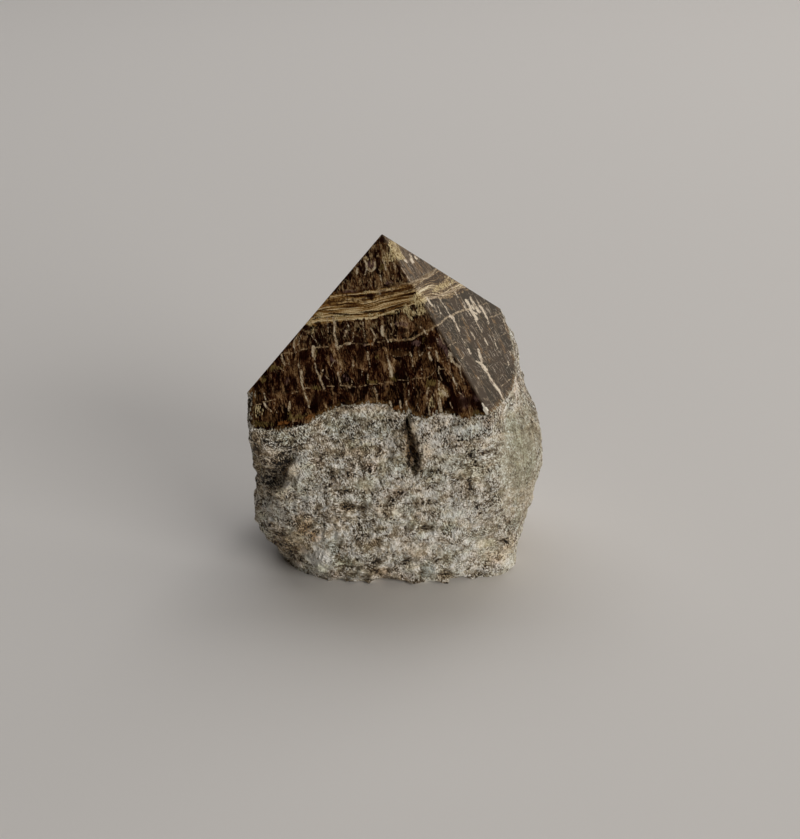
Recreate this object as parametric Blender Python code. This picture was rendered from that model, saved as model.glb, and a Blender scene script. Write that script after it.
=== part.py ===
"""Rough aragonite point.

One natural piece: a rough, sugary lump of banded brown aragonite that stands on a
flat cut base, with its top ground and polished into a low, uneven pyramid of five
flat facets that meet in one sharp apex.

Frame: +Z up, base at z = 0, origin under the middle of the bounding box, and the
large polished facet looks towards -Y.  Lengths below are in millimetres.

The lump is described round the vertical axis: a bearing is measured in degrees from
the front (-Y), positive towards the right (+X), so 90 is right, 180 back, -90 left.
"""

import math

import bmesh
import bpy
from mathutils import Vector, noise

for old in list(bpy.data.objects):
    bpy.data.objects.remove(old, do_unlink=True)

MM = 0.001

# ---------------------------------------------------------------- driving dimensions

APEX = Vector((-2.4, 1.0, 72.9))

# Each polished facet passes through the apex: (bearing it faces, lift of its normal).
FACETS = {
    "front": (-8.0, 36.0),
    "right": (61.0, 46.0),
    "back_right": (150.0, 43.5),
    "back_left": (-163.0, 38.0),
    "left": (-118.0, 30.0),
}

# Height at which the polish stops and the rough skin begins, by bearing.
RIM = (
    (-180.0, 43.0), (-160.0, 40.5), (-140.0, 36.0), (-120.0, 32.0), (-105.0, 30.5),
    (-90.0, 32.5), (-78.0, 36.0), (-68.0, 40.5), (-61.0, 43.5), (-57.5, 40.0),
    (-53.5, 38.0), (-47.0, 38.2), (-40.0, 39.3), (-34.0, 41.5), (-27.0, 42.8),
    (-15.0, 43.4), (-3.0, 43.3), (1.5, 42.1), (9.0, 41.9), (15.0, 41.4),
    (23.0, 42.6), (32.0, 41.8), (40.0, 42.5), (54.0, 42.8), (64.0, 43.4),
    (73.0, 44.7), (86.0, 47.7), (98.0, 51.0), (107.0, 53.8), (115.0, 54.2),
    (125.0, 52.3), (137.0, 49.4), (150.0, 46.8), (165.0, 44.7),
)

# Reach of the rough lump from the axis on its four sides: (height, reach).
RIGHT = ((0.0, 26.3), (4.0, 28.2), (9.0, 29.8), (15.0, 31.5), (21.0, 32.4), (25.5, 32.5),
         (30.5, 31.9), (34.6, 30.9), (36.4, 29.6), (40.0, 28.6), (45.0, 27.2), (52.0, 25.6), (62.0, 22.0))
LEFT = ((0.0, 26.2), (3.0, 28.6), (8.0, 31.0), (14.0, 31.8), (17.5, 30.8), (21.0, 31.2),
        (28.0, 31.8), (34.0, 32.2), (40.0, 31.6), (62.0, 31.0))
FRONT = ((0.0, 19.9), (3.0, 21.2), (8.0, 22.6), (16.0, 23.7), (25.0, 23.5), (34.0, 22.7),
         (43.0, 21.6), (62.0, 21.6))
BACK = ((0.0, 20.0), (4.0, 22.6), (12.0, 24.6), (22.0, 25.4), (32.0, 25.4), (43.0, 24.8), (62.0, 23.0))
SQUARENESS = 2.7          # exponent of the plan outline: 2 is an ellipse
# How far below the rim the skin still follows it, by bearing: short where it rounds over.
SHOULDER = ((-180.0, 14.0), (-120.0, 14.0), (-70.0, 24.0), (20.0, 20.0), (50.0, 14.0),
            (80.0, 10.0), (120.0, 10.0), (180.0, 14.0))

# Dents (-) and swells (+): bearing, height, half-width across, half-width up, depth.
SWELLS = (
    (-57.0, 27.0, 8.0, 12.0, 1.6),      # left front corner
    (42.0, 27.0, 10.0, 9.5, 2.4),       # right front corner, under the ridge
    (-62.0, 12.0, 9.0, 5.0, 1.2),       # bulge low on the left
    (-50.0, 25.5, 3.6, 4.2, -3.4),      # hollow in the left front
    (-56.0, 21.0, 3.0, 2.6, -2.2),      # its deepest pit
    (6.5, 37.0, 1.7, 7.0, -1.8),        # crevice that climbs into the polish
    (9.5, 29.5, 1.6, 4.5, -1.6),
    (-36.0, 5.0, 7.0, 3.4, 1.3),        # lump low on the front left
    (48.0, 6.0, 2.4, 5.0, -1.4),        # crease low on the right
    (62.0, 7.5, 3.6, 2.6, 0.9),         # flange outside it
    (150.0, 24.0, 9.0, 9.0, 1.6),
    (-150.0, 18.0, 8.0, 7.0, -2.0),
    (120.0, 12.0, 7.0, 6.0, -1.6),
    (-110.0, 14.0, 7.0, 6.0, 1.4),
    (175.0, 9.0, 6.0, 5.0, -1.4),
)

ROUGHNESS = ((11.0, 0.75), (5.0, 0.42), (2.6, 0.20))   # size and height of the lumps

CENTRE = (0.36, 0.78)      # middle of the plan, moved to the origin

COLUMNS = 120             # round the lump
ROWS = 28                 # up the rough skin


# ---------------------------------------------------------------------- the surface

def through(knots, x):
    """Smooth curve through the knots that never overshoots them."""
    if x <= knots[0][0]:
        return knots[0][1]
    if x >= knots[-1][0]:
        return knots[-1][1]
    i = 0
    while x > knots[i + 1][0]:
        i += 1

    def slope(a, b):
        return (knots[b][1] - knots[a][1]) / (knots[b][0] - knots[a][0])

    def tangent(k):
        if k == 0 or k == len(knots) - 1:
            return 0.0
        lower, upper = slope(k - 1, k), slope(k, k + 1)
        if lower * upper <= 0.0:
            return 0.0
        return 2.0 * lower * upper / (lower + upper)

    (x0, y0), (x1, y1) = knots[i], knots[i + 1]
    h = x1 - x0
    t = (x - x0) / h
    return (
        y0 * (1 + 2 * t) * (1 - t) ** 2
        + h * tangent(i) * t * (1 - t) ** 2
        + y1 * t * t * (3 - 2 * t)
        + h * tangent(i + 1) * t * t * (t - 1)
    )


def wrapped(bearing):
    return (bearing + 180.0) % 360.0 - 180.0


def smoothstep(t):
    t = min(max(t, 0.0), 1.0)
    return t * t * (3.0 - 2.0 * t)


def facet_normal(name):
    bearing, lift = (math.radians(v) for v in FACETS[name])
    return Vector((math.sin(bearing) * math.cos(lift), -math.cos(bearing) * math.cos(lift), math.sin(lift)))


NORMALS = {name: facet_normal(name) for name in FACETS}


def facet_reach(bearing, z):
    """Distance from the axis to the nearest facet at this bearing and height."""
    phi = math.radians(bearing)
    out = Vector((math.sin(phi), -math.cos(phi), 0.0))
    best = 1e9
    for n in NORMALS.values():
        lean = n.dot(out)
        if lean > 1e-6:
            best = min(best, (n.dot(APEX) - n.z * z) / lean)
    return best


RIM_LOOP = tuple((a - 360.0, h) for a, h in RIM[-3:]) + RIM + tuple((a + 360.0, h) for a, h in RIM[:3])


def rim_height(bearing):
    return through(RIM_LOOP, wrapped(bearing))


def plan_reach(bearing, z):
    """Plan outline at one height: four reaches joined by a squarish oval."""
    phi = math.radians(bearing)
    s, c = math.sin(phi), math.cos(phi)
    side = through(RIGHT if s > 0 else LEFT, z)
    face = through(FRONT if c > 0 else BACK, z)
    n = SQUARENESS
    return ((abs(s) / side) ** n + (abs(c) / face) ** n) ** (-1.0 / n)


def swell(bearing, z, reach):
    total = 0.0
    for at, height, across, up, depth in SWELLS:
        arc = math.radians(wrapped(bearing - at)) * reach
        d = (arc / across) ** 2 + ((z - height) / up) ** 2
        if d < 9.0:
            total += depth * math.exp(-d)
    return total


def skin_reach(bearing, z):
    """The rough skin: plan outline, pulled to the rim of the polish, dented and lumpy."""
    rim = rim_height(bearing)
    pull = facet_reach(bearing, rim) - plan_reach(bearing, rim)
    fade = through(SHOULDER, wrapped(bearing))
    reach = plan_reach(bearing, z) + pull * smoothstep((z - rim + fade) / fade)
    reach += swell(bearing, z, reach)
    phi = math.radians(bearing)
    p = Vector((reach * math.sin(phi), -reach * math.cos(phi), z))
    for size, height in ROUGHNESS:
        reach += height * noise.noise(p / size + Vector((3.1, 7.7, 1.3)))
    return reach


def skin_point(bearing, z):
    reach = skin_reach(bearing, z)
    phi = math.radians(bearing)
    return Vector((reach * math.sin(phi) - CENTRE[0], -reach * math.cos(phi) - CENTRE[1], z))


# -------------------------------------------------------------------------- the body

def build_blank(bm):
    """The lump before its top is ground: closed, with a flat base at z = 0."""
    rings = []
    for row in range(ROWS + 2):
        ring = []
        for col in range(COLUMNS):
            bearing = -180.0 + 360.0 * col / COLUMNS
            rim = rim_height(bearing)
            if row <= ROWS:
                ring.append(bm.verts.new(skin_point(bearing, rim * row / ROWS)))
            else:
                top = skin_point(bearing, rim + 9.0)
                edge = skin_point(bearing, rim)
                reach = max(top.xy.length, edge.xy.length) + 1.5
                ring.append(bm.verts.new(Vector((*(edge.xy.normalized() * reach), 64.0))))
        rings.append(ring)
    for low, high in zip(rings, rings[1:]):
        for k in range(COLUMNS):
            m = (k + 1) % COLUMNS
            bm.faces.new((low[k], low[m], high[m], high[k]))
    bm.faces.new(tuple(reversed(rings[0])))
    crown = bm.verts.new(Vector((APEX.x, APEX.y, 100.0)))
    for k in range(COLUMNS):
        bm.faces.new((rings[-1][k], rings[-1][(k + 1) % COLUMNS], crown))


def grind(bm, normal):
    """Cut away everything outside one facet and close the cut with a flat face."""
    apex = APEX - Vector((CENTRE[0], CENTRE[1], 0.0))
    cut = bmesh.ops.bisect_plane(
        bm,
        geom=bm.verts[:] + bm.edges[:] + bm.faces[:],
        dist=1e-4,
        plane_co=apex,
        plane_no=normal,
        clear_outer=True,
        clear_inner=False,
    )
    edges = [e for e in cut["geom_cut"] if isinstance(e, bmesh.types.BMEdge) and e.is_boundary]
    bmesh.ops.contextual_create(bm, geom=edges)


def build_stone():
    bm = bmesh.new()
    build_blank(bm)
    for name in FACETS:
        grind(bm, NORMALS[name])
    bmesh.ops.dissolve_degenerate(bm, dist=0.02, edges=bm.edges[:])
    bmesh.ops.recalc_face_normals(bm, faces=bm.faces[:])
    for face in bm.faces:
        face.smooth = len(face.verts) < 6
    for edge in bm.edges:
        edge.smooth = len(edge.link_faces) == 2 and edge.calc_face_angle(0.0) < math.radians(40.0)
    bmesh.ops.scale(bm, vec=(MM, MM, MM), verts=bm.verts[:])
    mesh = bpy.data.meshes.new("aragonite_point")
    bm.to_mesh(mesh)
    bm.free()
    return mesh


# ---------------------------------------------------------------------- the material

stone = bpy.data.materials.new("aragonite")
stone.use_nodes = True
shader = stone.node_tree.nodes["Principled BSDF"]
shader.inputs["Base Color"].default_value = (0.20, 0.15, 0.10, 1.0)
shader.inputs["Roughness"].default_value = 0.55
shader.inputs["Metallic"].default_value = 0.0

point = bpy.data.objects.new("aragonite_point", build_stone())
point.data.materials.append(stone)
bpy.context.scene.collection.objects.link(point)
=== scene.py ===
import math

import bmesh
import bpy
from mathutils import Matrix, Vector, kdtree, noise
from mathutils.geometry import delaunay_2d_cdt


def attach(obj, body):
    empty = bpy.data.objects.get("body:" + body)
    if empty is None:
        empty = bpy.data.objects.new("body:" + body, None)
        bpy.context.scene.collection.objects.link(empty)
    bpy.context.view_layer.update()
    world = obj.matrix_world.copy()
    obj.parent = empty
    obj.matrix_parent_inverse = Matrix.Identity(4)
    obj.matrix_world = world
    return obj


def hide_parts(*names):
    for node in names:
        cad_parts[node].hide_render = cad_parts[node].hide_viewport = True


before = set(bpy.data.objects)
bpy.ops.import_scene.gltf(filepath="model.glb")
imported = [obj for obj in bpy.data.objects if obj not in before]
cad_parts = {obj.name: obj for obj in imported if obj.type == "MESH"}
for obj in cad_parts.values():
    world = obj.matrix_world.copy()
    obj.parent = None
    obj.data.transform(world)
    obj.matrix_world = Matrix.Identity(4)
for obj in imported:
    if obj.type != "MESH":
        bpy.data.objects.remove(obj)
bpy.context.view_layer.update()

MM = 0.001

# =====================================================================================
# Camera, in millimetres in the stone's own frame.  Pixels below are in an 800 x 839 frame.
# =====================================================================================

ELEVATION = math.radians(25.0)
LENS = 64.0
DISTANCE = 331.5
AIM = Vector((1.04, -0.78, 30.2))
FOCAL = LENS / 36.0 * 839.0
LOOK = Vector((0.0, math.cos(ELEVATION), -math.sin(ELEVATION)))
UP = Vector((0.0, math.sin(ELEVATION), math.cos(ELEVATION)))
EYE = AIM - LOOK * DISTANCE

camera = bpy.data.objects.new("camera", bpy.data.cameras.new("camera"))
camera.data.lens = LENS
camera.data.sensor_width = 36.0
camera.data.clip_start = 0.01
camera.data.clip_end = 50.0
camera.location = EYE * MM
camera.rotation_euler = (math.radians(90.0) - ELEVATION, 0.0, 0.0)
bpy.context.scene.collection.objects.link(camera)
bpy.context.scene.camera = camera


def pixel_ray(px, py):
    return (LOOK + Vector((1, 0, 0)) * ((px - 400.0) / FOCAL) + UP * ((419.5 - py) / FOCAL)).normalized()


def to_pixel(p):
    d = p - EYE
    depth = d.dot(LOOK)
    return 400.0 + FOCAL * d.x / depth, 419.5 - FOCAL * d.dot(UP) / depth


# =====================================================================================
# The stone's shape: the same rules as the CAD solid, at a much finer step.
# A bearing is measured in degrees from the front (-Y), positive towards +X.
# =====================================================================================

CENTRE = Vector((0.36, 0.78, 0.0))
APEX = Vector((-2.4, 1.0, 72.9))

FACETS = {
    "front": (-8.0, 36.0),
    "right": (61.0, 46.0),
    "back_right": (150.0, 43.5),
    "back_left": (-163.0, 38.0),
    "left": (-118.0, 30.0),
}
RIM = (
    (-180.0, 43.0), (-160.0, 40.5), (-140.0, 36.0), (-120.0, 32.0), (-105.0, 30.5),
    (-90.0, 32.7), (-78.0, 36.5), (-68.0, 41.3), (-61.0, 44.2), (-57.5, 40.7),
    (-53.5, 38.5), (-48.0, 38.4), (-40.0, 39.4), (-34.0, 41.5), (-27.0, 42.7),
    (-20.0, 42.8), (-15.0, 43.3), (-3.0, 43.2), (-0.5, 42.4), (1.5, 42.1), (9.0, 41.9), (15.0, 41.4),
    (23.0, 42.6), (32.0, 41.9), (36.0, 42.5), (40.0, 42.6), (54.0, 42.8), (64.0, 43.4),
    (73.0, 44.7), (86.0, 47.7), (98.0, 51.0), (107.0, 53.8), (115.0, 54.2),
    (125.0, 52.3), (137.0, 49.4), (150.0, 46.8), (165.0, 44.7),
)
RIGHT = ((0.0, 26.3), (4.0, 28.2), (9.0, 29.8), (15.0, 31.5), (21.0, 32.4), (25.5, 32.5),
         (30.5, 31.9), (34.6, 30.9), (36.4, 29.6), (40.0, 28.6), (45.0, 27.2), (52.0, 25.6), (62.0, 22.0))
LEFT = ((0.0, 26.0), (3.0, 27.4), (8.0, 29.8), (14.0, 30.8), (17.5, 29.8), (21.0, 30.4),
        (28.0, 31.2), (34.0, 31.6), (40.0, 31.3), (62.0, 31.0))
FRONT = ((0.0, 19.9), (3.0, 21.2), (8.0, 22.6), (16.0, 23.7), (25.0, 23.5), (34.0, 22.7),
         (43.0, 21.6), (62.0, 21.6))
BACK = ((0.0, 20.0), (4.0, 22.6), (12.0, 24.6), (22.0, 25.4), (32.0, 25.4), (43.0, 24.8), (62.0, 23.0))
SQUARENESS = 2.7
SHOULDER = ((-180.0, 14.0), (-120.0, 14.0), (-70.0, 24.0), (20.0, 20.0), (50.0, 14.0),
            (80.0, 10.0), (120.0, 10.0), (180.0, 14.0))
SWELLS = (
    (-57.0, 27.0, 8.0, 12.0, 1.6),
    (42.0, 27.0, 10.0, 9.5, 2.4),
    (-62.0, 12.0, 9.0, 5.0, 1.2),
    (-48.0, 18.5, 6.0, 4.0, 1.0),
    (-53.5, 25.8, 2.9, 3.9, -3.2),
    (-59.5, 21.9, 2.8, 2.4, -2.2),
    (-36.0, 5.0, 7.0, 3.4, 1.3),
    (48.0, 6.0, 2.4, 5.0, -1.4),
    (62.0, 7.5, 3.6, 2.6, 0.7),
    (59.0, 0.4, 8.0, 3.0, 3.0),
    (150.0, 24.0, 9.0, 9.0, 1.6),
    (-150.0, 18.0, 8.0, 7.0, -2.0),
    (120.0, 12.0, 7.0, 6.0, -1.6),
    (-110.0, 14.0, 7.0, 6.0, 1.4),
    (175.0, 9.0, 6.0, 5.0, -1.4),
)
ROUGHNESS = ((11.0, 0.75), (5.0, 0.55), (2.6, 0.36))

# The crevice that climbs the front and nicks the polish: (height, bearing, half-width, depth).
CREVICE = ((28.0, 11.2, 0.20, 0.0), (29.5, 11.2, 0.40, 1.3), (31.5, 11.2, 0.58, 2.2), (34.0, 10.2, 0.66, 2.6),
           (36.5, 8.8, 0.46, 2.2), (39.0, 7.6, 0.42, 1.8), (41.5, 8.0, 0.30, 1.0), (42.8, 8.6, 0.20, 0.4), (43.6, 8.8, 0.1, 0.0))

# Finer modelling of the front: pixel, radii in pixels, turn, and how far it stands out in millimetres.
DENTS = (
    (286, 457, 9, 7, -20, -2.0), (270, 478, 7, 7, 0, -2.2), (280, 468, 5, 7, 0, -1.6), (293, 468, 4, 8, 0, 0.5), (281, 490, 12, 4, -8, 1.1), (258, 472, 3, 8, 0, -0.8), (262, 460, 6, 12, 0, 0.2),
    (410, 434, 2.4, 8, -15, -1.0), (412, 448, 3.2, 6, 0, -1.3), (416, 458, 2.0, 6, -8, -1.2), (408, 459, 2.2, 5, 0, -1.0), (414, 470, 2.4, 6, 0, -1.2), (413, 460, 1.8, 3, 0, 0.9), (413, 427, 6, 6, 0, 0.5), (407, 422, 2.4, 4, 0, -0.8),
    (316, 532, 6, 4, -20, -0.7), (325, 536, 2.4, 7, 0, 0.5), (320, 512, 9, 1.2, -38, 0.4), (318, 518, 6, 1.6, -40, -0.4), (309, 527, 7, 2, -45, -0.4), (306, 516, 5, 5, 0, 0.3), (321, 556, 7, 6, 0, 0.7), (320, 556, 2.2, 2.2, 0, -0.5), (320, 568, 8, 3, 0, 0.3),
    (293, 552, 10, 9, 0, -0.7), (275, 545, 5, 7, 0, -0.4), (310, 567, 5, 4, 0, -0.4), (300, 563, 5, 4, 0, 0.4), (335, 545, 5, 9, 0, -0.4),
    (350, 568, 11, 2, 3, -0.6), (335, 577, 6, 6, 0, 0.8), (357, 578, 8, 3, 0, 0.5), (373, 575, 5, 4, 0, 0.6), (365, 579, 6, 2, 25, -0.5), (387, 570, 3, 3, 0, -1.0), (374, 560, 5, 4, 30, -0.6), (405, 560, 5, 3, 0, -0.5), (395, 552, 9, 5, 0, 0.4), (411, 575, 5, 7, 0, 0.7),
    (421, 576, 1.6, 6, 0, -0.6), (430, 572, 6, 7, 0, 0.5), (448, 574, 4, 3, 0, -0.6), (455, 568, 7, 4, 0, 0.3), (442, 580, 12, 2, 0, 0.4), (478, 575, 7, 3, 0, -1.2), (469, 568, 6, 1.4, -45, -0.5),
    (508, 527, 2.6, 9, 0, -1.0), (504, 542, 4, 3, -40, -0.8), (512, 545, 4, 12, 20, 0.6), (499, 558, 10, 7, 0, 0.4), (490, 567, 6, 3, 0, -0.3), (517, 510, 4, 12, 0, 0.3),
    (471, 455, 3.5, 2, 0, -0.5), (484, 452, 7, 1.6, -18, -0.5), (494, 449, 4, 1.4, -15, -0.5), (486, 470, 5, 2.6, 0, -0.6), (476, 463, 2, 6, 0, -0.4), (483, 460, 6, 4, -15, 0.3), (481, 431, 7, 2, -25, 0.4), (483, 436, 5, 2, -10, -0.5), (471, 436, 3, 5, 0, 0.3),
    (445, 444, 3, 6, 0, -0.5), (452, 424, 5, 5, 0, -0.4), (437, 442, 6, 3, -45, 0.3), (428, 473, 8, 4, 0, -0.6), (432, 486, 6, 3, 0, -0.5), (415, 491, 7, 1.5, 0, -0.5), (414, 487, 6, 1.4, 0, 0.3), (443, 474, 3, 6, 0, 0.3),
    (330, 474, 7, 3, 35, -0.6), (318, 460, 5, 3, 0, -0.4), (334, 463, 4, 5, 0, 0.4), (304, 489, 8, 4, 0, -0.4), (309, 501, 5, 5, 0, 0.4), (343, 492, 5, 3, 0, -0.5), (347, 507, 8, 5, 30, -0.6), (362, 507, 3, 5, 0, -0.5), (385, 512, 12, 4, 0, 0.3),
    (365, 521, 7, 4, 0, -0.4), (364, 535, 9, 5, 0, -0.5), (376, 532, 1.6, 3, 0, -0.4), (405, 531, 1.8, 5, 0, -0.6), (416, 516, 4, 1.4, -25, -0.5), (422, 512, 4, 1.2, 20, -0.4), (414, 523, 6, 5, 0, 0.3), (427, 529, 6, 3.5, -20, -0.6), (424, 503, 8, 3, 0, -0.4),
    (428, 541, 7, 2, 48, 0.4), (447, 530, 6, 4, 0, -0.7), (454, 536, 2.4, 8, 10, 0.4), (475, 501, 1.8, 6, 0, -0.5), (481, 510, 1.6, 5, -25, -0.5), (446, 557, 9, 6, 0, -0.3), (464, 555, 4, 4, 0, 0.3), (442, 505, 4, 4, 0, 0.4),
    (356, 455, 22, 1.6, 2, -0.35), (398, 451, 6, 3, -20, -0.4), (371, 467, 6, 4, 0, -0.3), (383, 465, 4, 9, 0, 0.2), (381, 484, 1.6, 6, -15, -0.2), (401, 494, 6, 3, 0, -0.5), (395, 421, 11, 2, 0, -0.3), (343, 440, 10, 3, 0, -0.35), (299, 443, 7, 1.4, 15, -0.4), (293, 434, 4, 3, 0, -0.3),
    (335, 582, 7, 4, 0, 1.0), (414, 584, 13, 4, 0, 1.5), (450, 583, 12, 3, 0, 0.6), (365, 583, 14, 3, 0, 0.3),
)
# Places where the foot is undercut and lets a dark gap show: bearing, half-width, height and depth in millimetres.
ARCHES = ((-2.0, 4.6, 0.75, 3.2), (-33.0, 1.6, 0.6, 2.0), (16.0, 5.0, 0.35, 1.6), (37.0, 2.6, 1.0, 3.6), (-22.0, 2.4, 0.4, 1.4))


def through(knots, x):
    if x <= knots[0][0]:
        return knots[0][1]
    if x >= knots[-1][0]:
        return knots[-1][1]
    i = 0
    while x > knots[i + 1][0]:
        i += 1

    def slope(a, b):
        return (knots[b][1] - knots[a][1]) / (knots[b][0] - knots[a][0])

    def tangent(k):
        if k == 0 or k == len(knots) - 1:
            return 0.0
        lower, upper = slope(k - 1, k), slope(k, k + 1)
        if lower * upper <= 0.0:
            return 0.0
        return 2.0 * lower * upper / (lower + upper)

    (x0, y0), (x1, y1) = knots[i], knots[i + 1]
    h = x1 - x0
    t = (x - x0) / h
    return (y0 * (1 + 2 * t) * (1 - t) ** 2 + h * tangent(i) * t * (1 - t) ** 2
            + y1 * t * t * (3 - 2 * t) + h * tangent(i + 1) * t * t * (t - 1))


def wrapped(bearing):
    return (bearing + 180.0) % 360.0 - 180.0


def smoothstep(t):
    t = min(max(t, 0.0), 1.0)
    return t * t * (3.0 - 2.0 * t)


def facet_normal(name):
    bearing, lift = (math.radians(v) for v in FACETS[name])
    return Vector((math.sin(bearing) * math.cos(lift), -math.cos(bearing) * math.cos(lift), math.sin(lift)))


NORMALS = {name: facet_normal(name) for name in FACETS}
RIM_LOOP = tuple((a - 360.0, h) for a, h in RIM[-3:]) + RIM + tuple((a + 360.0, h) for a, h in RIM[:3])


def facet_reach(bearing, z):
    phi = math.radians(bearing)
    out = Vector((math.sin(phi), -math.cos(phi), 0.0))
    best = 1e9
    for n in NORMALS.values():
        lean = n.dot(out)
        if lean > 1e-6:
            best = min(best, (n.dot(APEX) - n.z * z) / lean)
    return best


def reaches(z):
    """Right, left, front and back reach at one height."""
    return through(RIGHT, z), through(LEFT, z), through(FRONT, z), through(BACK, z)


def oval(s, c, four):
    right, left, front, back = four
    n = SQUARENESS
    return ((abs(s) / (right if s > 0 else left)) ** n + (abs(c) / (front if c > 0 else back)) ** n) ** (-1.0 / n)


REACH_STEP = 0.1
REACH_TABLE = [reaches(k * REACH_STEP) for k in range(int(66 / REACH_STEP))]


def plan_reach(s, c, z):
    k = min(max(z / REACH_STEP, 0.0), len(REACH_TABLE) - 2.0)
    i = int(k)
    f = k - i
    a, b = REACH_TABLE[i], REACH_TABLE[i + 1]
    return oval(s, c, [u + (v - u) * f for u, v in zip(a, b)])


def crevice(bearing, z, reach):
    if not 26.5 < z < 45.0 or abs(bearing - 8.5) > 12.0:
        return 0.0
    at = through([(k[0], k[1]) for k in CREVICE], z)
    width = through([(k[0], k[2]) for k in CREVICE], z)
    depth = through([(k[0], k[3]) for k in CREVICE], z)
    arc = math.radians(bearing - at) * reach
    arc += 0.55 * noise.noise(Vector((7.0, 3.0, z / 1.7))) + 0.30 * noise.noise(Vector((2.0, 9.0, z / 0.55)))
    width *= 1.0 + 0.8 * noise.noise(Vector((5.0, 1.0, z / 1.1)))
    return -depth * math.exp(-abs(arc / width) ** 2.6)


BIN = 24


def binned(rows, reach_of):
    """Rows sorted into square bins of the picture, so that a point looks at its neighbours only."""
    bins = {}
    for row in rows:
        u0, v0, u1, v1 = reach_of(row)
        for i in range(int(u0 // BIN), int(u1 // BIN) + 1):
            for j in range(int(v0 // BIN), int(v1 // BIN) + 1):
                bins.setdefault((i, j), []).append(row)
    return bins


def within(u, v, ru, rv, turn, px, py):
    """How deep a pixel lies inside a turned oval: 1 at its middle, falling softly to 0."""
    du, dv = px - u, py - v
    a = math.radians(turn)
    x = (du * math.cos(a) + dv * math.sin(a)) / ru
    y = (-du * math.sin(a) + dv * math.cos(a)) / rv
    d = x * x + y * y
    return math.exp(-d ** 1.4) if d < 5.0 else 0.0


def oval_box(u, v, ru, rv):
    r = 2.3 * max(ru, rv)
    return u - r, v - r, u + r, v + r


DENT_BINS = binned(DENTS, lambda row: oval_box(*row[:4]))
wobble = Vector((4.4, 8.8, 2.1))


def dents(p, s, c):
    """Hollows and ledges of the front, which were placed by the pixel they cover."""
    q = p - CENTRE
    facing = Vector((s, -c, 0.25)).normalized().dot((EYE - q).normalized())
    if facing < 0.1:
        return 0.0
    px, py = to_pixel(q)
    px += 3.4 * noise.noise(p / 1.9 + wobble)
    py += 3.4 * noise.noise(p / 1.9 - wobble)
    total = 0.0
    for u, v, ru, rv, turn, out in DENT_BINS.get((int(px // BIN), int(py // BIN)), ()):
        total += out * within(u, v, ru, rv, turn, px, py)
    return total * smoothstep((facing - 0.1) / 0.3)


def arch(bearing, z, reach):
    """Undercut of the foot where a gap shows under the stone."""
    total = 0.0
    for at, half, height, depth in ARCHES:
        arc = math.radians(wrapped(bearing - at)) * reach / half
        if abs(arc) < 1.0:
            top = height * (1.0 - arc * arc) ** 0.5
            total = max(total, depth * smoothstep((top + 0.25 - z) / 0.4) * (1.0 - arc ** 4))
    return total


def relief(p, lumps):
    """The broken, sugary skin: lumps, ledges, hackly steps and grains, in millimetres."""
    total = 0.0
    for size, height in ROUGHNESS:
        total += height * noise.noise(p / size + Vector((3.1, 7.7, 1.3)))
    total += 0.26 * noise.noise(p / 1.5 + Vector((9.1, 2.2, 5.4)))
    # hackly chips: flats between steps
    d, _ = noise.voronoi(Vector((p.x / 3.4, p.y / 3.4, p.z / 2.6)) + Vector((2.0, 4.0, 6.0)))
    total += 0.75 * (0.45 - min(d[0], 0.9))
    total *= lumps
    d, _ = noise.voronoi(p / 1.15 + Vector((5.0, 1.0, 8.0)))
    total += 0.30 * (0.5 - min(d[0], 1.0))
    d, _ = noise.voronoi(p / 0.62 + Vector((1.0, 6.0, 2.0)))
    total += 0.18 * (0.5 - min(d[0], 1.0))
    total += 0.07 * noise.noise(p / 0.42)
    return total


COLUMNS_FRONT, COLUMNS_BACK = ((400, 100))
ROWS, RIM_ROWS = ((150, 7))


def bearings():
    """Columns round the stone, closer together over the half that faces the front."""
    out = [-100.0 + 200.0 * k / COLUMNS_FRONT for k in range(COLUMNS_FRONT)]
    out += [100.0 + 160.0 * k / COLUMNS_BACK for k in range(COLUMNS_BACK)]
    return out


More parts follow.
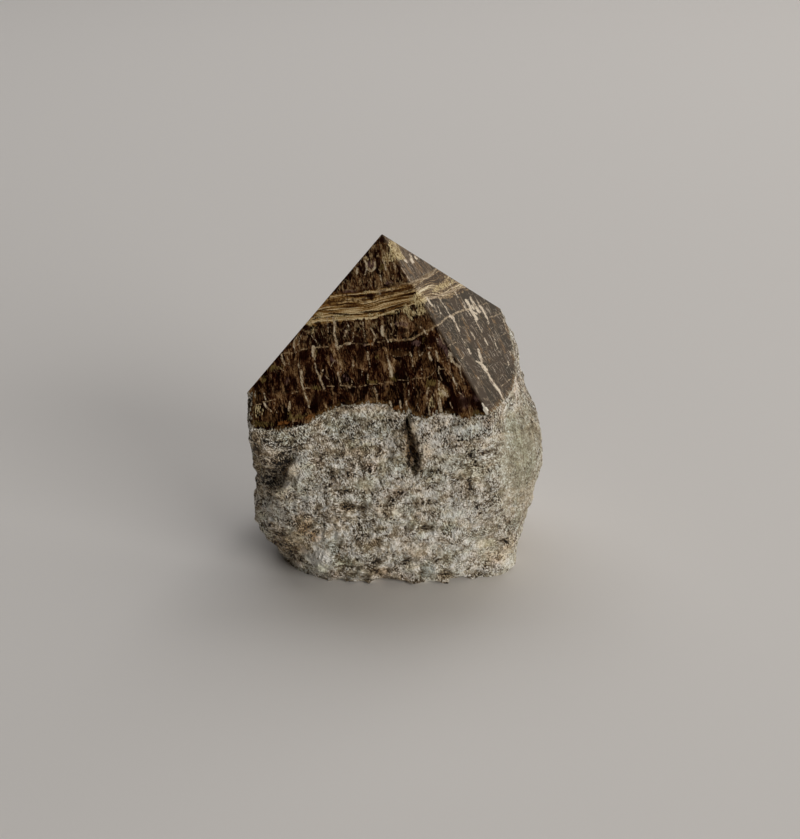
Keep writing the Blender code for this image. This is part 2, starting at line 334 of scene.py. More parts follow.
def build_blank(bm):
    columns = []
    layer = bm.verts.layers.float.new("below")
    for bearing in bearings():
        bearing = wrapped(bearing)
        phi = math.radians(bearing)
        s, c = math.sin(phi), math.cos(phi)
        rim = through(RIM_LOOP, bearing)
        pull = facet_reach(bearing, rim) - plan_reach(s, c, rim)
        fade = through(SHOULDER, bearing)
        near = [w for w in SWELLS if abs(wrapped(bearing - w[0])) < 60.0]
        column = []
        heights = [rim * k / ROWS for k in range(ROWS + 1)] + [rim + 0.33 * (k + 1) for k in range(RIM_ROWS)]
        for z in heights:
            reach = plan_reach(s, c, z) + pull * smoothstep((z - rim + fade) / fade)
            base = reach
            for at, height, across, up, depth in near:
                d = (math.radians(wrapped(bearing - at)) * base / across) ** 2 + ((z - height) / up) ** 2
                if d < 9.0:
                    reach += depth * math.exp(-d)
            reach += crevice(bearing, z, reach)
            p = Vector((reach * s, -reach * c, z))
            if z < rim:
                reach += dents(p, s, c) * smoothstep((rim - z) / 1.2)
            if z < 2.0:
                reach -= arch(bearing, z, reach)
            # the relief fades out at the very foot, so that the base stays flat
            calm = min(1.0, 0.35 + z / 1.5)
            reach += relief(p, smoothstep((rim - z + 0.6) / 5.0)) * calm * (0.7 + 0.3 * smoothstep((rim - z + 0.5) / 1.5))
            v = bm.verts.new(Vector((reach * s, -reach * c, z)) - CENTRE)
            v[layer] = rim - z
            column.append(v)
        edge = Vector((s, -c)) * (max(Vector((v.co.x + CENTRE.x, v.co.y + CENTRE.y)).length for v in column[-RIM_ROWS:]) + 1.5)
        column.append(bm.verts.new(Vector((edge.x, edge.y, 64.0)) - CENTRE))
        columns.append(column)
    count = len(columns)
    for k in range(count):
        a, b = columns[k], columns[(k + 1) % count]
        for low in range(len(a) - 1):
            bm.faces.new((a[low], b[low], b[low + 1], a[low + 1]))
    bm.faces.new([column[0] for column in reversed(columns)])
    crown = bm.verts.new(Vector((APEX.x, APEX.y, 100.0)) - CENTRE)
    for k in range(count):
        bm.faces.new((columns[k][-1], columns[(k + 1) % count][-1], crown))


def grind(bm, normal, tag, inset=0.0):
    """Cut away everything outside one plane and close the cut with a flat, tagged face."""
    cut = bmesh.ops.bisect_plane(
        bm, geom=bm.verts[:] + bm.edges[:] + bm.faces[:], dist=1e-5,
        plane_co=APEX - CENTRE - normal * inset, plane_no=normal, clear_outer=True, clear_inner=False)
    edges = [e for e in cut["geom_cut"] if isinstance(e, bmesh.types.BMEdge) and e.is_boundary]
    made = bmesh.ops.contextual_create(bm, geom=edges)
    for face in made["faces"]:
        face.material_index = tag


def facet_axes(name):
    """Level direction and downhill direction in one facet."""
    n = NORMALS[name]
    level = Vector((0, 0, 1)).cross(n).normalized()
    downhill = level.cross(n).normalized()
    return level, (downhill if downhill.z < 0 else -downhill)


def fill_flat(bm, name, step):
    """Replace one flat facet by small triangles between its outline and a lattice, so that it carries fine detail."""
    level, downhill = facet_axes(name)
    origin = APEX - CENTRE
    for face in [f for f in bm.faces if f.material_index == TAGS[name]]:
        ring = list(face.verts)
        flat = [Vector(((v.co - origin).dot(level), (v.co - origin).dot(downhill))) for v in ring]
        low = [min(q[i] for q in flat) for i in (0, 1)]
        high = [max(q[i] for q in flat) for i in (0, 1)]
        lattice = []
        for j in range(int((high[1] - low[1]) / (step * 0.866))):
            y = low[1] + (j + 0.5) * step * 0.866
            for i in range(int((high[0] - low[0]) / step) + 1):
                lattice.append(Vector((low[0] + (i + 0.5 * (j % 2)) * step, y)))
        points, _, faces, origins, _, _ = delaunay_2d_cdt(flat + lattice, [], [list(range(len(flat)))], 1, 1e-7)
        known = {}
        for k, source in enumerate(origins):
            mine = [q for q in source if q < len(ring)]
            if mine:
                known[k] = ring[mine[0]]
        up = face.normal.copy()
        bm.faces.remove(face)
        for corner in faces:
            verts = []
            for k in corner:
                if k not in known:
                    known[k] = bm.verts.new(origin + level * points[k].x + downhill * points[k].y)
                verts.append(known[k])
            if len(set(verts)) < 3:
                continue
            made = bm.faces.new(verts)
            made.material_index = TAGS[name]
            made.normal_update()
            if made.normal.dot(up) < 0:
                made.normal_flip()


TAGS = {name: k + 1 for k, name in enumerate(FACETS)}
GRID = {"front": 0.36, "right": 0.36, "back_right": 1.2, "back_left": 1.2, "left": 1.2}


bm = bmesh.new()
build_blank(bm)
for name in FACETS:
    grind(bm, NORMALS[name], TAGS[name])

# ridges are not knife edges: each gets a hairline flat
names = list(FACETS)
EDGE_TAG, RIDGE_TAG = 7, 8
RIDGE_ROUND = 1.3
for a, b in zip(names, names[1:] + names[:1]):
    middle = (NORMALS[a] + NORMALS[b]).normalized()
    if (a, b) == ("front", "right"):
        # the ridge that faces the viewer is rubbed round
        half = NORMALS[a].angle(middle)
        for k in range(1, 8):
            normal = NORMALS[a].slerp(NORMALS[b], k / 8)
            grind(bm, normal, RIDGE_TAG, inset=RIDGE_ROUND * (normal.dot(middle) / math.cos(half) - 1.0))
        # sliced across, so that the rounded ridge carries the same detail as the facets
        along = NORMALS[a].cross(NORMALS[b]).normalized()
        along = along if along.z < 0 else -along
        strip = [f for f in bm.faces if f.material_index == RIDGE_TAG]
        geom = strip + list({e for f in strip for e in f.edges}) + list({v for f in strip for v in f.verts})
        slices = 120
        for k in range(1, slices):
            geom = bmesh.ops.bisect_plane(bm, geom=geom, dist=1e-5, plane_no=along,
                                          plane_co=APEX - CENTRE + along * (k * 48.0 / slices))["geom"]
    else:
        grind(bm, middle, EDGE_TAG, inset=0.035)

for name, step in GRID.items():
    fill_flat(bm, name, step * (1.0))
bmesh.ops.recalc_face_normals(bm, faces=bm.faces[:])

# =====================================================================================
# What the surface carries: growth layers, fibres, veins and stains.
# =====================================================================================

# Growth layers are near-level sheets that tilt up to the right and roll over near the ridge.
ROLL = ((-33.0, -0.4), (-24.0, -0.3), (-17.0, 0.05), (-10.0, 0.1), (-4.0, -0.55), (3.3, -0.9),
        (6.5, -0.2), (8.7, 0.8), (10.4, 0.95), (12.4, 0.75), (14.5, 0.5), (17.0, -0.1), (21.0, -0.8), (33.0, -0.8))


def growth(p):
    """Height in the pile of growth layers, in millimetres."""
    fade = min(max((66.0 - p.z) / 12.0, 0.0), 1.0)
    # the layers climb towards the ridge, then step down again in the facet on the right
    past = (NORMALS["front"] - NORMALS["right"]).dot(APEX - p)
    before, past = max(-past, 0.0), max(past, 0.0)
    g = p.z - 0.166 * p.x + 0.114 * p.y - through(ROLL, p.x) * fade
    turn = 1.6 * (1.0 - smoothstep(before / 9.0)) * (1.0 - smoothstep(past / 7.0)) - 1.2 * smoothstep((past - 2.5) / 5.0)
    return g - turn * smoothstep((63.2 - g) / 4.0)


# Lean of the fibres in each facet, in degrees from straight downhill, positive towards the right.
FIBRE_LEAN = {"front": 15.0, "right": -14.0, "back_right": 8.0, "back_left": -6.0, "left": 10.0}


def across(p, name):
    """Distance across the fibres within one facet, in millimetres."""
    level, downhill = facet_axes(name)
    d = p - APEX
    return d.dot(level) - math.tan(math.radians(FIBRE_LEAN[name])) * d.dot(downhill) + 40.0 * TAGS[name]


# Veins in the two facets that face the viewer: half-width in pixels, then points in pixels.
# They were placed one by one.
CREAM = (
    (1.2, (298, 364), (301, 371)), (2.0, (301, 371), (302, 378), (302, 384)), (1.3, (301, 382), (304, 391), (307, 399), (309, 407)),
    (0.8, (302, 388), (306, 388)), (2.6, (313, 347), (314, 356)), (0.9, (314, 356), (316, 368)),
    (1.2, (316, 370), (319, 375)), (1.2, (323, 370), (320, 376)), (1.5, (319, 374), (321, 381), (324, 389)), (0.8, (325, 375), (328, 379), (331, 380)),
    (1.3, (338, 372), (339, 378), (341, 385)), (0.8, (341, 365), (341, 372)), (0.8, (331, 366), (334, 361), (336, 360)),
    (1.5, (368, 352), (368, 359)), (0.9, (369, 359), (370, 364), (370, 367)), (0.9, (368, 374), (368, 380)),
    (1.1, (387, 355), (389, 363)), (1.9, (389, 362), (390, 369)), (2.6, (391, 368), (391, 376)),
    (0.8, (376, 360), (377, 363)), (0.8, (362, 371), (362, 376)), (1.5, (353, 361), (353, 366)),
    (1.5, (346, 331), (345, 336)), (1.0, (354, 331), (353, 336), (353, 341)), (0.9, (346, 319), (348, 324), (349, 330)),
    (1.6, (333, 317), (335, 325), (334, 333), (336, 340), (337, 346)), (1.0, (327, 318), (328, 326), (328, 332)),
    (1.8, (336, 346), (338, 349)), (1.4, (338, 347), (342, 346)), (2.0, (347, 344), (350, 343)),
    (0.8, (363, 322), (364, 331), (365, 338)), (1.2, (371, 328), (374, 334), (376, 337)), (1.3, (376, 337), (373, 343), (372, 345)),
    (0.9, (311, 335), (315, 340), (320, 346)), (1.2, (297, 336), (294, 342), (294, 348), (296, 353)), (0.8, (301, 335), (298, 345)),
    (1.5, (281, 354), (282, 359), (285, 365)), (0.8, (286, 365), (289, 363)), (0.7, (287, 355), (289, 362), (291, 369)),
    (2.6, (382, 327), (383, 335)), (1.4, (385, 335), (388, 342)), (1.1, (391, 324), (393, 328)),
    (1.1, (264, 393), (266, 401)), (1.4, (264, 403), (267, 408), (271, 411)), (1.8, (290, 402), (289, 410)), (0.7, (274, 402), (275, 408), (277, 413)),
    (0.8, (252, 414), (254, 421), (254, 427)), (0.7, (293, 421), (293, 428)),
    (1.3, (436, 351), (438, 361)), (1.1, (439, 367), (439, 373)), (0.8, (421, 366), (422, 374)), (1.0, (410, 352), (412, 358), (413, 366)),
    (1.8, (429, 353), (431, 360)), (1.2, (428, 348), (431, 348)), (0.9, (418, 350), (420, 356)), (0.9, (424, 351), (421, 356)),
    (1.4, (439, 381), (439, 389)), (1.4, (439, 389), (443, 393)), (2.2, (443, 392), (447, 396)), (1.0, (443, 390), (446, 388)),
    (1.0, (438, 394), (440, 400)), (2.3, (439, 399), (441, 411)), (0.8, (431, 391), (436, 397), (438, 400)),
    (1.4, (428, 388), (427, 394)), (0.9, (427, 394), (427, 402)), (1.3, (427, 402), (429, 408), (430, 415)),
    (0.8, (408, 378), (408, 385)), (0.9, (409, 389), (409, 397)), (0.7, (413, 383), (414, 389)), (0.7, (418, 401), (417, 406), (420, 411)),
    (1.7, (390, 402), (392, 409)), (1.3, (400, 401), (401, 408)), (1.3, (406, 401), (407, 409)), (1.3, (377, 393), (377, 401)), (1.1, (374, 387), (376, 392)),
    (1.0, (379, 401), (381, 406)), (1.3, (348, 385), (350, 388)), (0.8, (352, 380), (352, 385)), (0.7, (371, 388), (373, 392)),
    (0.8, (449, 400), (451, 405), (453, 409)), (0.5, (459, 400), (461, 408)), (1.0, (443, 361), (443, 364)),
    (0.8, (446, 356), (449, 363), (450, 371)), (1.1, (450, 371), (453, 378)), (1.4, (453, 378), (455, 384)), (0.9, (455, 384), (459, 384)),
    (1.0, (456, 385), (457, 390)), (0.8, (457, 390), (461, 394), (464, 397)), (0.6, (438, 371), (441, 378), (443, 385)),
    (1.8, (365, 261), (367, 267)), (1.9, (367, 268), (371, 271)), (1.7, (371, 271), (375, 268), (375, 262)), (1.0, (366, 271), (365, 275)),
    (1.3, (383, 260), (385, 266), (386, 270)), (0.8, (383, 250), (386, 256)), (1.0, (391, 254), (389, 259)), (1.6, (393, 263), (395, 267)), (0.8, (395, 267), (397, 275)),
    (1.1, (380, 275), (381, 280)), (0.8, (381, 280), (383, 288)), (1.4, (378, 289), (380, 294)),
    (0.6, (361, 279), (364, 285), (362, 291)), (0.6, (368, 280), (368, 286), (372, 286), (372, 280)), (1.5, (357, 268), (357, 274)), (0.7, (345, 276), (344, 284)),
    (0.7, (350, 284), (351, 289)), (0.8, (353, 262), (355, 267)),
    (1.5, (421, 327), (424, 331), (427, 334)), (1.2, (431, 328), (433, 330)), (0.7, (438, 331), (441, 338)), (0.8, (436, 337), (439, 345)), (0.7, (441, 338), (444, 344)),
    (1.1, (449, 351), (450, 354)), (2.5, (450, 354), (452, 361)), (1.7, (452, 361), (456, 364), (459, 367)), (0.8, (459, 367), (461, 364)),
    (1.0, (460, 367), (461, 374), (463, 380)), (0.7, (463, 380), (465, 384)),
    (0.7, (440, 299), (445, 307), (450, 315)), (1.9, (450, 316), (453, 318)), (1.1, (453, 318), (456, 324), (459, 331)), (0.7, (459, 331), (461, 337), (465, 343)),
    (1.3, (478, 349), (480, 355)), (1.9, (480, 355), (482, 362)), (1.1, (476, 361), (480, 363)), (1.9, (480, 363), (484, 367)), (2.4, (483, 366), (486, 370)),
    (1.2, (486, 371), (489, 375)), (1.4, (489, 375), (492, 381)), (1.2, (492, 381), (495, 385)), (1.8, (494, 384), (500, 392)), (1.2, (500, 392), (502, 397)), (0.9, (502, 397), (506, 402)),
    (1.4, (468, 303), (474, 309)), (1.6, (474, 305), (480, 312)), (1.2, (470, 310), (477, 314)), (0.7, (462, 303), (466, 309), (471, 316)),
    (1.8, (466, 300), (469, 305)), (1.5, (469, 305), (472, 312)), (2.0, (472, 312), (477, 319)), (1.2, (470, 297), (473, 303)), (1.6, (473, 302), (478, 311)),
    (0.9, (477, 301), (482, 308)), (1.6, (480, 306), (484, 312)), (1.3, (484, 312), (487, 318)), (0.8, (487, 318), (489, 324)),
    (0.8, (475, 319), (478, 325), (482, 332)), (0.8, (471, 332), (475, 339)), (0.9, (484, 338), (488, 345)), (1.1, (468, 349), (471, 354)),
    (0.6, (494, 337), (495, 343), (498, 350)), (0.7, (503, 318), (505, 325), (507, 331)), (0.7, (450, 284), (454, 291)), (0.7, (455, 291), (458, 298)),
    (1.3, (427, 298), (430, 303), (433, 306)), (0.7, (434, 305), (437, 312)), (0.6, (438, 307), (441, 314)), (0.6, (477, 376), (479, 379)),
    (1.6, (405, 260), (407, 262)), (2.1, (411, 259), (413, 262)), (1.5, (415, 256), (417, 259)), (1.0, (409, 254), (412, 257)), (0.8, (510, 351), (511, 355)), (0.8, (508, 362), (509, 365)),
    (0.7, (401, 267), (405, 273), (410, 281)), (1.0, (418, 290), (420, 288)),
)
TAN = (
    (2.0, (270, 376), (272, 386)), (1.8, (272, 386), (274, 394)), (2.6, (282, 386), (284, 397)), (1.8, (284, 397), (286, 402)),
    (2.2, (338, 350), (339, 356)), (2.4, (353, 366), (354, 372)), (1.8, (326, 368), (327, 376)), (2.4, (322, 372), (319, 378)),
    (1.8, (332, 390), (334, 403)), (1.4, (330, 382), (332, 388)), (0.8, (358, 389), (359, 400)), (3.0, (373, 390), (376, 400)), (2.2, (368, 398), (373, 401)),
    (1.6, (412, 360), (412, 368)), (1.6, (445, 371), (449, 381)), (1.6, (455, 368), (458, 378)), (2.2, (457, 380), (461, 390)),
    (1.2, (344, 383), (352, 385)), (2.2, (382, 385), (393, 383)), (1.6, (345, 384), (347, 390)), (1.6, (303, 367), (305, 372)),
    (2.0, (323, 322), (325, 333)), (2.0, (337, 328), (339, 340)), (1.4, (331, 335), (334, 345)), (1.2, (328, 335), (329, 345)), (1.6, (366, 322), (368, 334)),
    (1.3, (370, 338), (366, 341)), (2.2, (388, 330), (392, 338)), (1.4, (350, 320), (356, 322)), (2.2, (299, 347), (297, 355)), (1.4, (307, 350), (305, 344)),
    (1.4, (261, 387), (264, 394)), (1.6, (255, 395), (258, 403)), (1.4, (276, 391), (279, 399)), (1.2, (268, 398), (270, 406)), (1.2, (282, 402), (283, 412)),
    (1.0, (298, 411), (299, 419)), (2.4, (301, 414), (304, 422)), (1.2, (260, 412), (263, 421)), (1.2, (270, 413), (272, 423)),
    (1.4, (398, 384), (399, 392)), (1.2, (404, 383), (405, 396)), (1.0, (416, 384), (418, 398)), (1.0, (422, 380), (424, 392)), (1.4, (425, 404), (424, 412)),
    (1.8, (363, 254), (366, 261)), (1.6, (370, 254), (373, 258)), (2.2, (384, 252), (387, 262)), (1.8, (389, 262), (391, 270)), (1.4, (362, 274), (366, 279)),
    (1.4, (354, 276), (356, 286)), (1.2, (347, 282), (348, 289)), (1.6, (373, 272), (374, 278)), (1.4, (386, 272), (388, 280)), (1.2, (395, 276), (396, 284)),
    (2.6, (377, 283), (378, 296)), (1.2, (384, 288), (392, 287)), (2.4, (401, 270), (406, 279)), (2.0, (399, 284), (394, 287)),
    (1.8, (430, 308), (436, 317)), (1.6, (445, 302), (452, 309)), (1.8, (462, 318), (468, 328)), (2.0, (448, 333), (452, 342)), (2.6, (456, 348), (462, 356)),
    (1.6, (466, 330), (470, 342)), (1.6, (477, 340), (482, 352)), (1.4, (486, 352), (490, 362)), (1.6, (500, 340), (505, 352)), (1.8, (474, 372), (482, 384)),
    (1.2, (488, 326), (493, 336)), (1.4, (492, 318), (498, 328)), (2.0, (415, 262), (423, 272)), (1.6, (405, 264), (412, 274)), (1.4, (460, 300), (464, 308)),
)
LINES = (
    (0.7, (280, 354), (286, 353), (293, 353)), (0.7, (298, 351), (303, 349), (307, 349)), (0.7, (313, 348), (321, 347), (329, 347)), (0.7, (338, 347), (346, 343)), (0.5, (350, 343), (362, 344)),
    (0.6, (363, 345), (372, 344)), (0.7, (377, 342), (385, 341)), (1.3, (389, 340), (397, 340), (406, 340)), (1.3, (406, 340), (412, 339), (417, 336)), (1.2, (417, 336), (424, 332), (430, 330), (435, 326)),
    (0.6, (303, 388), (310, 388)), (0.6, (327, 386), (334, 386)), (0.7, (340, 385), (348, 386), (357, 387)), (0.6, (357, 387), (368, 385)),
    (0.6, (370, 384), (378, 384), (388, 382)), (0.7, (388, 382), (393, 382)), (0.4, (397, 380), (408, 380), (417, 378)), (0.4, (417, 378), (426, 378), (432, 375), (436, 370)), (0.4, (438, 369), (445, 369)),
    (0.7, (246, 405), (253, 405), (261, 404)), (0.5, (262, 402), (270, 401), (276, 399)), (0.6, (292, 393), (299, 391)), (0.5, (277, 366), (286, 372)),
    (0.4, (388, 353), (395, 357), (402, 356), (409, 354)), (0.5, (398, 349), (404, 352)), (0.5, (397, 322), (401, 322), (407, 321)), (0.5, (394, 324), (399, 326), (404, 326)),
    (0.6, (314, 317), (321, 319)), (0.6, (325, 318), (333, 317)), (0.6, (391, 334), (396, 336), (401, 335)), (0.5, (340, 319), (347, 318)),
    (1.0, (435, 326), (440, 324), (444, 320), (447, 317), (451, 316)), (1.1, (451, 316), (458, 312), (464, 310), (470, 309)), (0.6, (481, 305), (487, 303)),
    (0.6, (490, 317), (495, 316), (501, 313)), (0.5, (448, 346), (456, 342)), (0.4, (500, 336), (506, 333)),
    (1.0, (428, 299), (434, 298), (440, 295)), (0.9, (440, 295), (448, 292), (456, 290)), (0.9, (456, 289), (463, 287), (468, 287)),
    (0.5, (499, 387), (505, 384), (510, 379)), (0.3, (488, 404), (497, 397)),
    (0.9, (409, 284), (414, 281), (420, 279)), (0.9, (421, 279), (428, 278), (433, 273), (437, 268)), (0.7, (397, 287), (402, 284), (409, 284)),
    (0.5, (342, 290), (352, 290)), (0.6, (385, 291), (393, 290)), (0.5, (464, 356), (459, 362)),
)

PATCHES = (
    # the chip at the ridge's foot: white stone with a painted glint
    ("chip", 486, 410.5, 1.9, 4.4, -22, 1.4), ("chip", 483, 404.5, 1.0, 3, -28, 0.8),
    ("dark", 381, 239, 5, 3.4, 0, 0.8), ("dark", 378, 263, 2.4, 8, 0, 1.0), ("dark", 363, 268, 3, 6, 0, 0.8), ("dark", 399, 268, 2.0, 7, -28, 0.8), ("dark", 404, 275, 3, 3, 0, 0.8),
    ("dark", 352, 274, 4, 5, 0, 0.6), ("dark", 366, 285, 2.5, 4, 0, 0.6), ("dark", 354, 297, 4, 3, 0, 0.7), ("dark", 371, 297, 5, 3, 0, 0.9), ("dark", 390, 278, 4, 3, 0, 0.5),
    ("dark", 388, 287, 4, 2, 0, 0.7), ("dark", 374, 252, 6, 2, 0, 0.6), ("dark", 340, 314, 13, 0.9, 2, 1.3), ("dark", 369, 311.6, 12, 1.1, -2, 1.3), ("dark", 383, 311, 5, 1.0, 0, 1.1),
    ("dark", 399, 308, 7, 1.0, -8, 1.2), ("dark", 317, 317.5, 5, 1.0, 0, 1.2), ("dark", 318, 324, 4, 2.5, 10, 1.0), ("dark", 330, 325, 2.2, 4, 0, 1.0), ("dark", 342, 325, 3, 4, 0, 0.9),
    ("dark", 342, 337, 3, 5, -10, 0.7), ("dark", 357, 339, 4, 5, 0, 0.9), ("dark", 350, 335, 1.6, 5, 0, 0.8), ("dark", 324, 340, 4, 5, 0, 0.9), ("dark", 304, 341, 5, 3, 0, 0.8),
    ("dark", 289, 347, 4, 3, -30, 0.9), ("dark", 304, 355, 5, 5, 0, 1.0), ("dark", 309, 371, 4, 9, -8, 0.9), ("dark", 293, 379, 5, 8, -8, 0.6), ("dark", 300, 401, 5, 7, -10, 0.8),
    ("dark", 318, 399, 8, 8, 0, 0.8), ("dark", 277, 361, 3, 4, 0, 0.8), ("dark", 344, 398, 8, 6, 0, 0.6), ("dark", 362, 396, 5, 7, 0, 0.5), ("dark", 361, 353, 5, 11, 0, 0.9),
    ("dark", 345, 360, 5, 10, 0, 0.5), ("dark", 329, 354, 6, 4, 0, 0.6), ("dark", 374, 365, 3, 4, 0, 0.7), ("dark", 402, 345, 9, 4, 0, 0.9), ("dark", 398, 369, 4, 7, 0, 0.8), ("dark", 405, 367, 4, 7, 0, 0.6),
    ("dark", 400, 388, 4, 6, 0, 0.7), ("dark", 418, 391, 6, 8, 0, 0.4), ("dark", 452, 391, 3, 10, -10, 0.9), ("dark", 458, 403, 7, 7, 0, 0.9), ("dark", 471, 401, 6, 8, -30, 0.9),
    ("dark", 464, 411, 10, 2.5, 0, 0.4), ("mauve", 466, 404, 6, 6, -30, 0.6), ("dark", 474, 391, 3, 6, -35, 0.8), ("dark", 430, 340, 8, 5, 0, 0.8), ("dark", 403, 330, 6, 3, 0, 0.9), ("dark", 387, 319, 6, 1.6, 0, 0.7), ("dark", 433, 320, 2.5, 4, -30, 0.8),
    ("dark", 409, 409, 2, 4, 0, 1.0), ("dark", 481, 402, 3, 3, -30, 0.9), ("dark", 455, 284, 4, 1.0, -15, 1.0), ("dark", 435, 300, 3, 1.5, 10, 0.9), ("dark", 376, 320, 4, 2, 0, 0.7), ("dark", 295, 362, 3, 4, 0, 0.5),
    ("dark", 481, 315, 1.2, 3, -20, 0.9), ("dark", 437, 331, 1.2, 5, -30, 0.8), ("dark", 441, 372, 4, 5, 0, 0.5), ("dark", 465, 375, 3, 7, -30, 0.5),
    ("gold", 395, 250, 3.6, 9, -25, 2.2), ("gold", 401, 256, 2.5, 5, -40, 1.2), ("gold", 388, 258, 5, 5, 0, 1.1), ("gold", 366, 258, 3, 2.2, 0, 0.6), ("gold", 367, 292, 5, 1.6, -6, 0.7), ("gold", 378, 291, 1.6, 6, 0, 0.6),
    ("gold", 418, 300, 7, 7, 0, 1.0), ("gold", 407, 309, 3.5, 5, -20, 1.0), ("gold", 421, 311, 5, 4, -10, 1.0), ("gold", 412, 314, 4, 3, -10, 0.7), ("dark", 409, 303, 3, 2, 0, 0.7), ("dark", 416, 308, 2.4, 2, 0, 0.8), ("dark", 424, 316, 3, 1.6, -30, 0.7), ("dark", 403, 314, 4, 1.4, -10, 0.7), ("gold", 393, 312, 7, 1.8, 0, 0.8), ("gold", 377, 315.6, 2.4, 1.6, 0, 1.5), ("gold", 370, 315.4, 2.4, 1.4, 0, 1.3),
    ("gold", 412, 318, 1.8, 3, 0, 0.7), ("gold", 310, 323, 2.6, 4, -20, 1.2), ("gold", 312, 331, 1.8, 3, 0, 0.8), ("gold", 320, 315, 4, 3, 0, 0.8), ("gold", 440, 287, 10, 3, -22, 0.7), ("gold", 447, 283, 8, 3, -22, 0.6),
    ("gold", 442, 392, 5, 6, 0, 0.6), ("gold", 432, 402, 4, 7, 0, 0.45), ("gold", 440, 408, 3.5, 4, 0, 0.5),
    ("gold", 389, 341, 3, 1.6, 0, 0.7), ("gold", 336, 318, 3, 3, 0, 0.7), ("gold", 411, 355, 2, 1.4, 0, 0.8), ("gold", 344, 316, 14, 1.2, 0, 0.6),
    ("brown", 418, 323, 13, 6, -10, 0.6), ("brown", 425, 331, 8, 5, 0, 0.6), ("brown", 383, 247, 8, 4, 0, 0.9), ("brown", 368, 278, 6, 4, 0, 0.7), ("brown", 370, 340, 5, 4, 0, 0.8), ("brown", 425, 357, 7, 6, 0, 0.8),
    ("brown", 430, 370, 8, 7, 0, 0.6), ("brown", 431, 385, 8, 6, 0, 0.8), ("brown", 435, 403, 5, 7, 0, 0.7), ("brown", 400, 353, 13, 3.5, 0, 0.9), ("brown", 383, 358, 6, 3, 0, 1.0), ("brown", 384, 369, 7, 8, 0, 0.4),
    ("brown", 390, 395, 10, 9, 0, 0.5), ("brown", 420, 402, 8, 9, 0, 0.45), ("brown", 455, 375, 7, 9, 0, 0.5), ("brown", 270, 414, 12, 6, 0, 0.5), ("brown", 262, 393, 6, 9, 0, 0.6), ("brown", 330, 296, 10, 5, 0, 0.5),
    ("brown", 392, 270, 5, 6, 0, 0.6), ("brown", 366, 315, 6, 2, 0, 0.4), ("brown", 335, 365, 3, 5, 0, 0.5), ("brown", 290, 372, 8, 14, 0, 0.3), ("brown", 398, 289, 10, 4, -10, 0.8), ("brown", 445, 395, 6, 5, 0, 0.6), ("brown", 252, 415, 5, 10, 0, 0.6),
    ("rust", 283, 423, 7, 1.8, -6, 0.9), ("rust", 312, 416, 6, 1.8, -22, 0.7), ("gold", 258, 411, 8, 7, 0, 0.4), ("brown", 272, 420, 12, 3, 0, 0.5), ("rust", 309, 418, 3, 2.6, 0, 0.8), ("rust", 325, 306, 5, 1.4, -10, 1.2), ("rust", 462, 416, 7, 2, 0, 0.5), ("rust", 399, 408, 7, 2.5, 0, 0.8),
    ("rust", 371, 342, 4, 2.5, 0, 0.8), ("rust", 331, 294, 4, 1.6, 0, 0.7), ("rust", 343, 400, 10, 2, -8, 0.4), ("rust", 440, 406, 6, 5, 0, 0.5), ("rust", 382, 244, 6, 2, 0, 0.4),
    ("olive", 316, 388, 5, 1.8, 0, 1.2), ("olive", 263, 379, 2.2, 3.4, 20, 1.5), ("olive", 275, 368, 9, 2.6, -5, 0.8), ("olive", 314, 353, 1.8, 4, 0, 1.6), ("olive", 290, 416, 1.8, 5, 0, 1.3), ("olive", 393, 378, 4, 4, 0, 0.9),
    ("olive", 430, 383, 6, 6, 0, 0.7), ("olive", 382, 267, 2.2, 4.5, 0, 0.8), ("olive", 345, 316.5, 14, 1.0, 0, 0.7), ("olive", 388, 313.6, 7, 1.0, 0, 0.9), ("olive", 372, 382, 6, 2.5, 0, 0.7), ("olive", 260, 424, 13, 3, 2, 0.8), ("olive", 300, 417, 12, 2.6, -18, 0.8),
    ("olive", 426, 341, 6, 5, 0, 0.4), ("olive", 378, 356, 3, 3, 0, 0.6), ("olive", 481, 316, 1.2, 2.6, -20, 0.9), ("olive", 476, 413, 5, 3, 0, 0.6), ("olive", 412, 300, 3, 4, 0, 0.3),
    ("mauve", 402, 324, 6, 3, 0, 1.0), ("mauve", 441, 343, 4, 7, -30, 1.0), ("mauve", 447, 353, 2, 7, -20, 0.9), ("mauve", 478, 397, 5, 5, -30, 1.0), ("mauve", 350, 292, 7, 2.4, 0, 0.9), ("mauve", 346, 333, 3, 4, 0, 0.6),
    ("mauve", 365, 345, 2.4, 0.9, 0, 1.5), ("mauve", 332, 358, 2, 5, 0, 0.8), ("mauve", 371, 265, 5, 5, 0, 0.8), ("mauve", 346, 377, 3, 5, 0, 0.5), ("mauve", 417, 343, 5, 3, 0, 0.8), ("mauve", 384, 386, 4, 4, 0, 0.4),
    ("mauve", 436, 316, 4, 5, -30, 0.8), ("mauve", 287, 381, 3, 6, 0, 0.5), ("mauve", 389, 283, 4, 3, 0, 0.6), ("mauve", 462, 398, 5, 6, 0, 0.5), ("mauve", 425, 270, 8, 5, 30, 0.4), ("mauve", 336, 362, 3, 3, 0, 0.4),
)
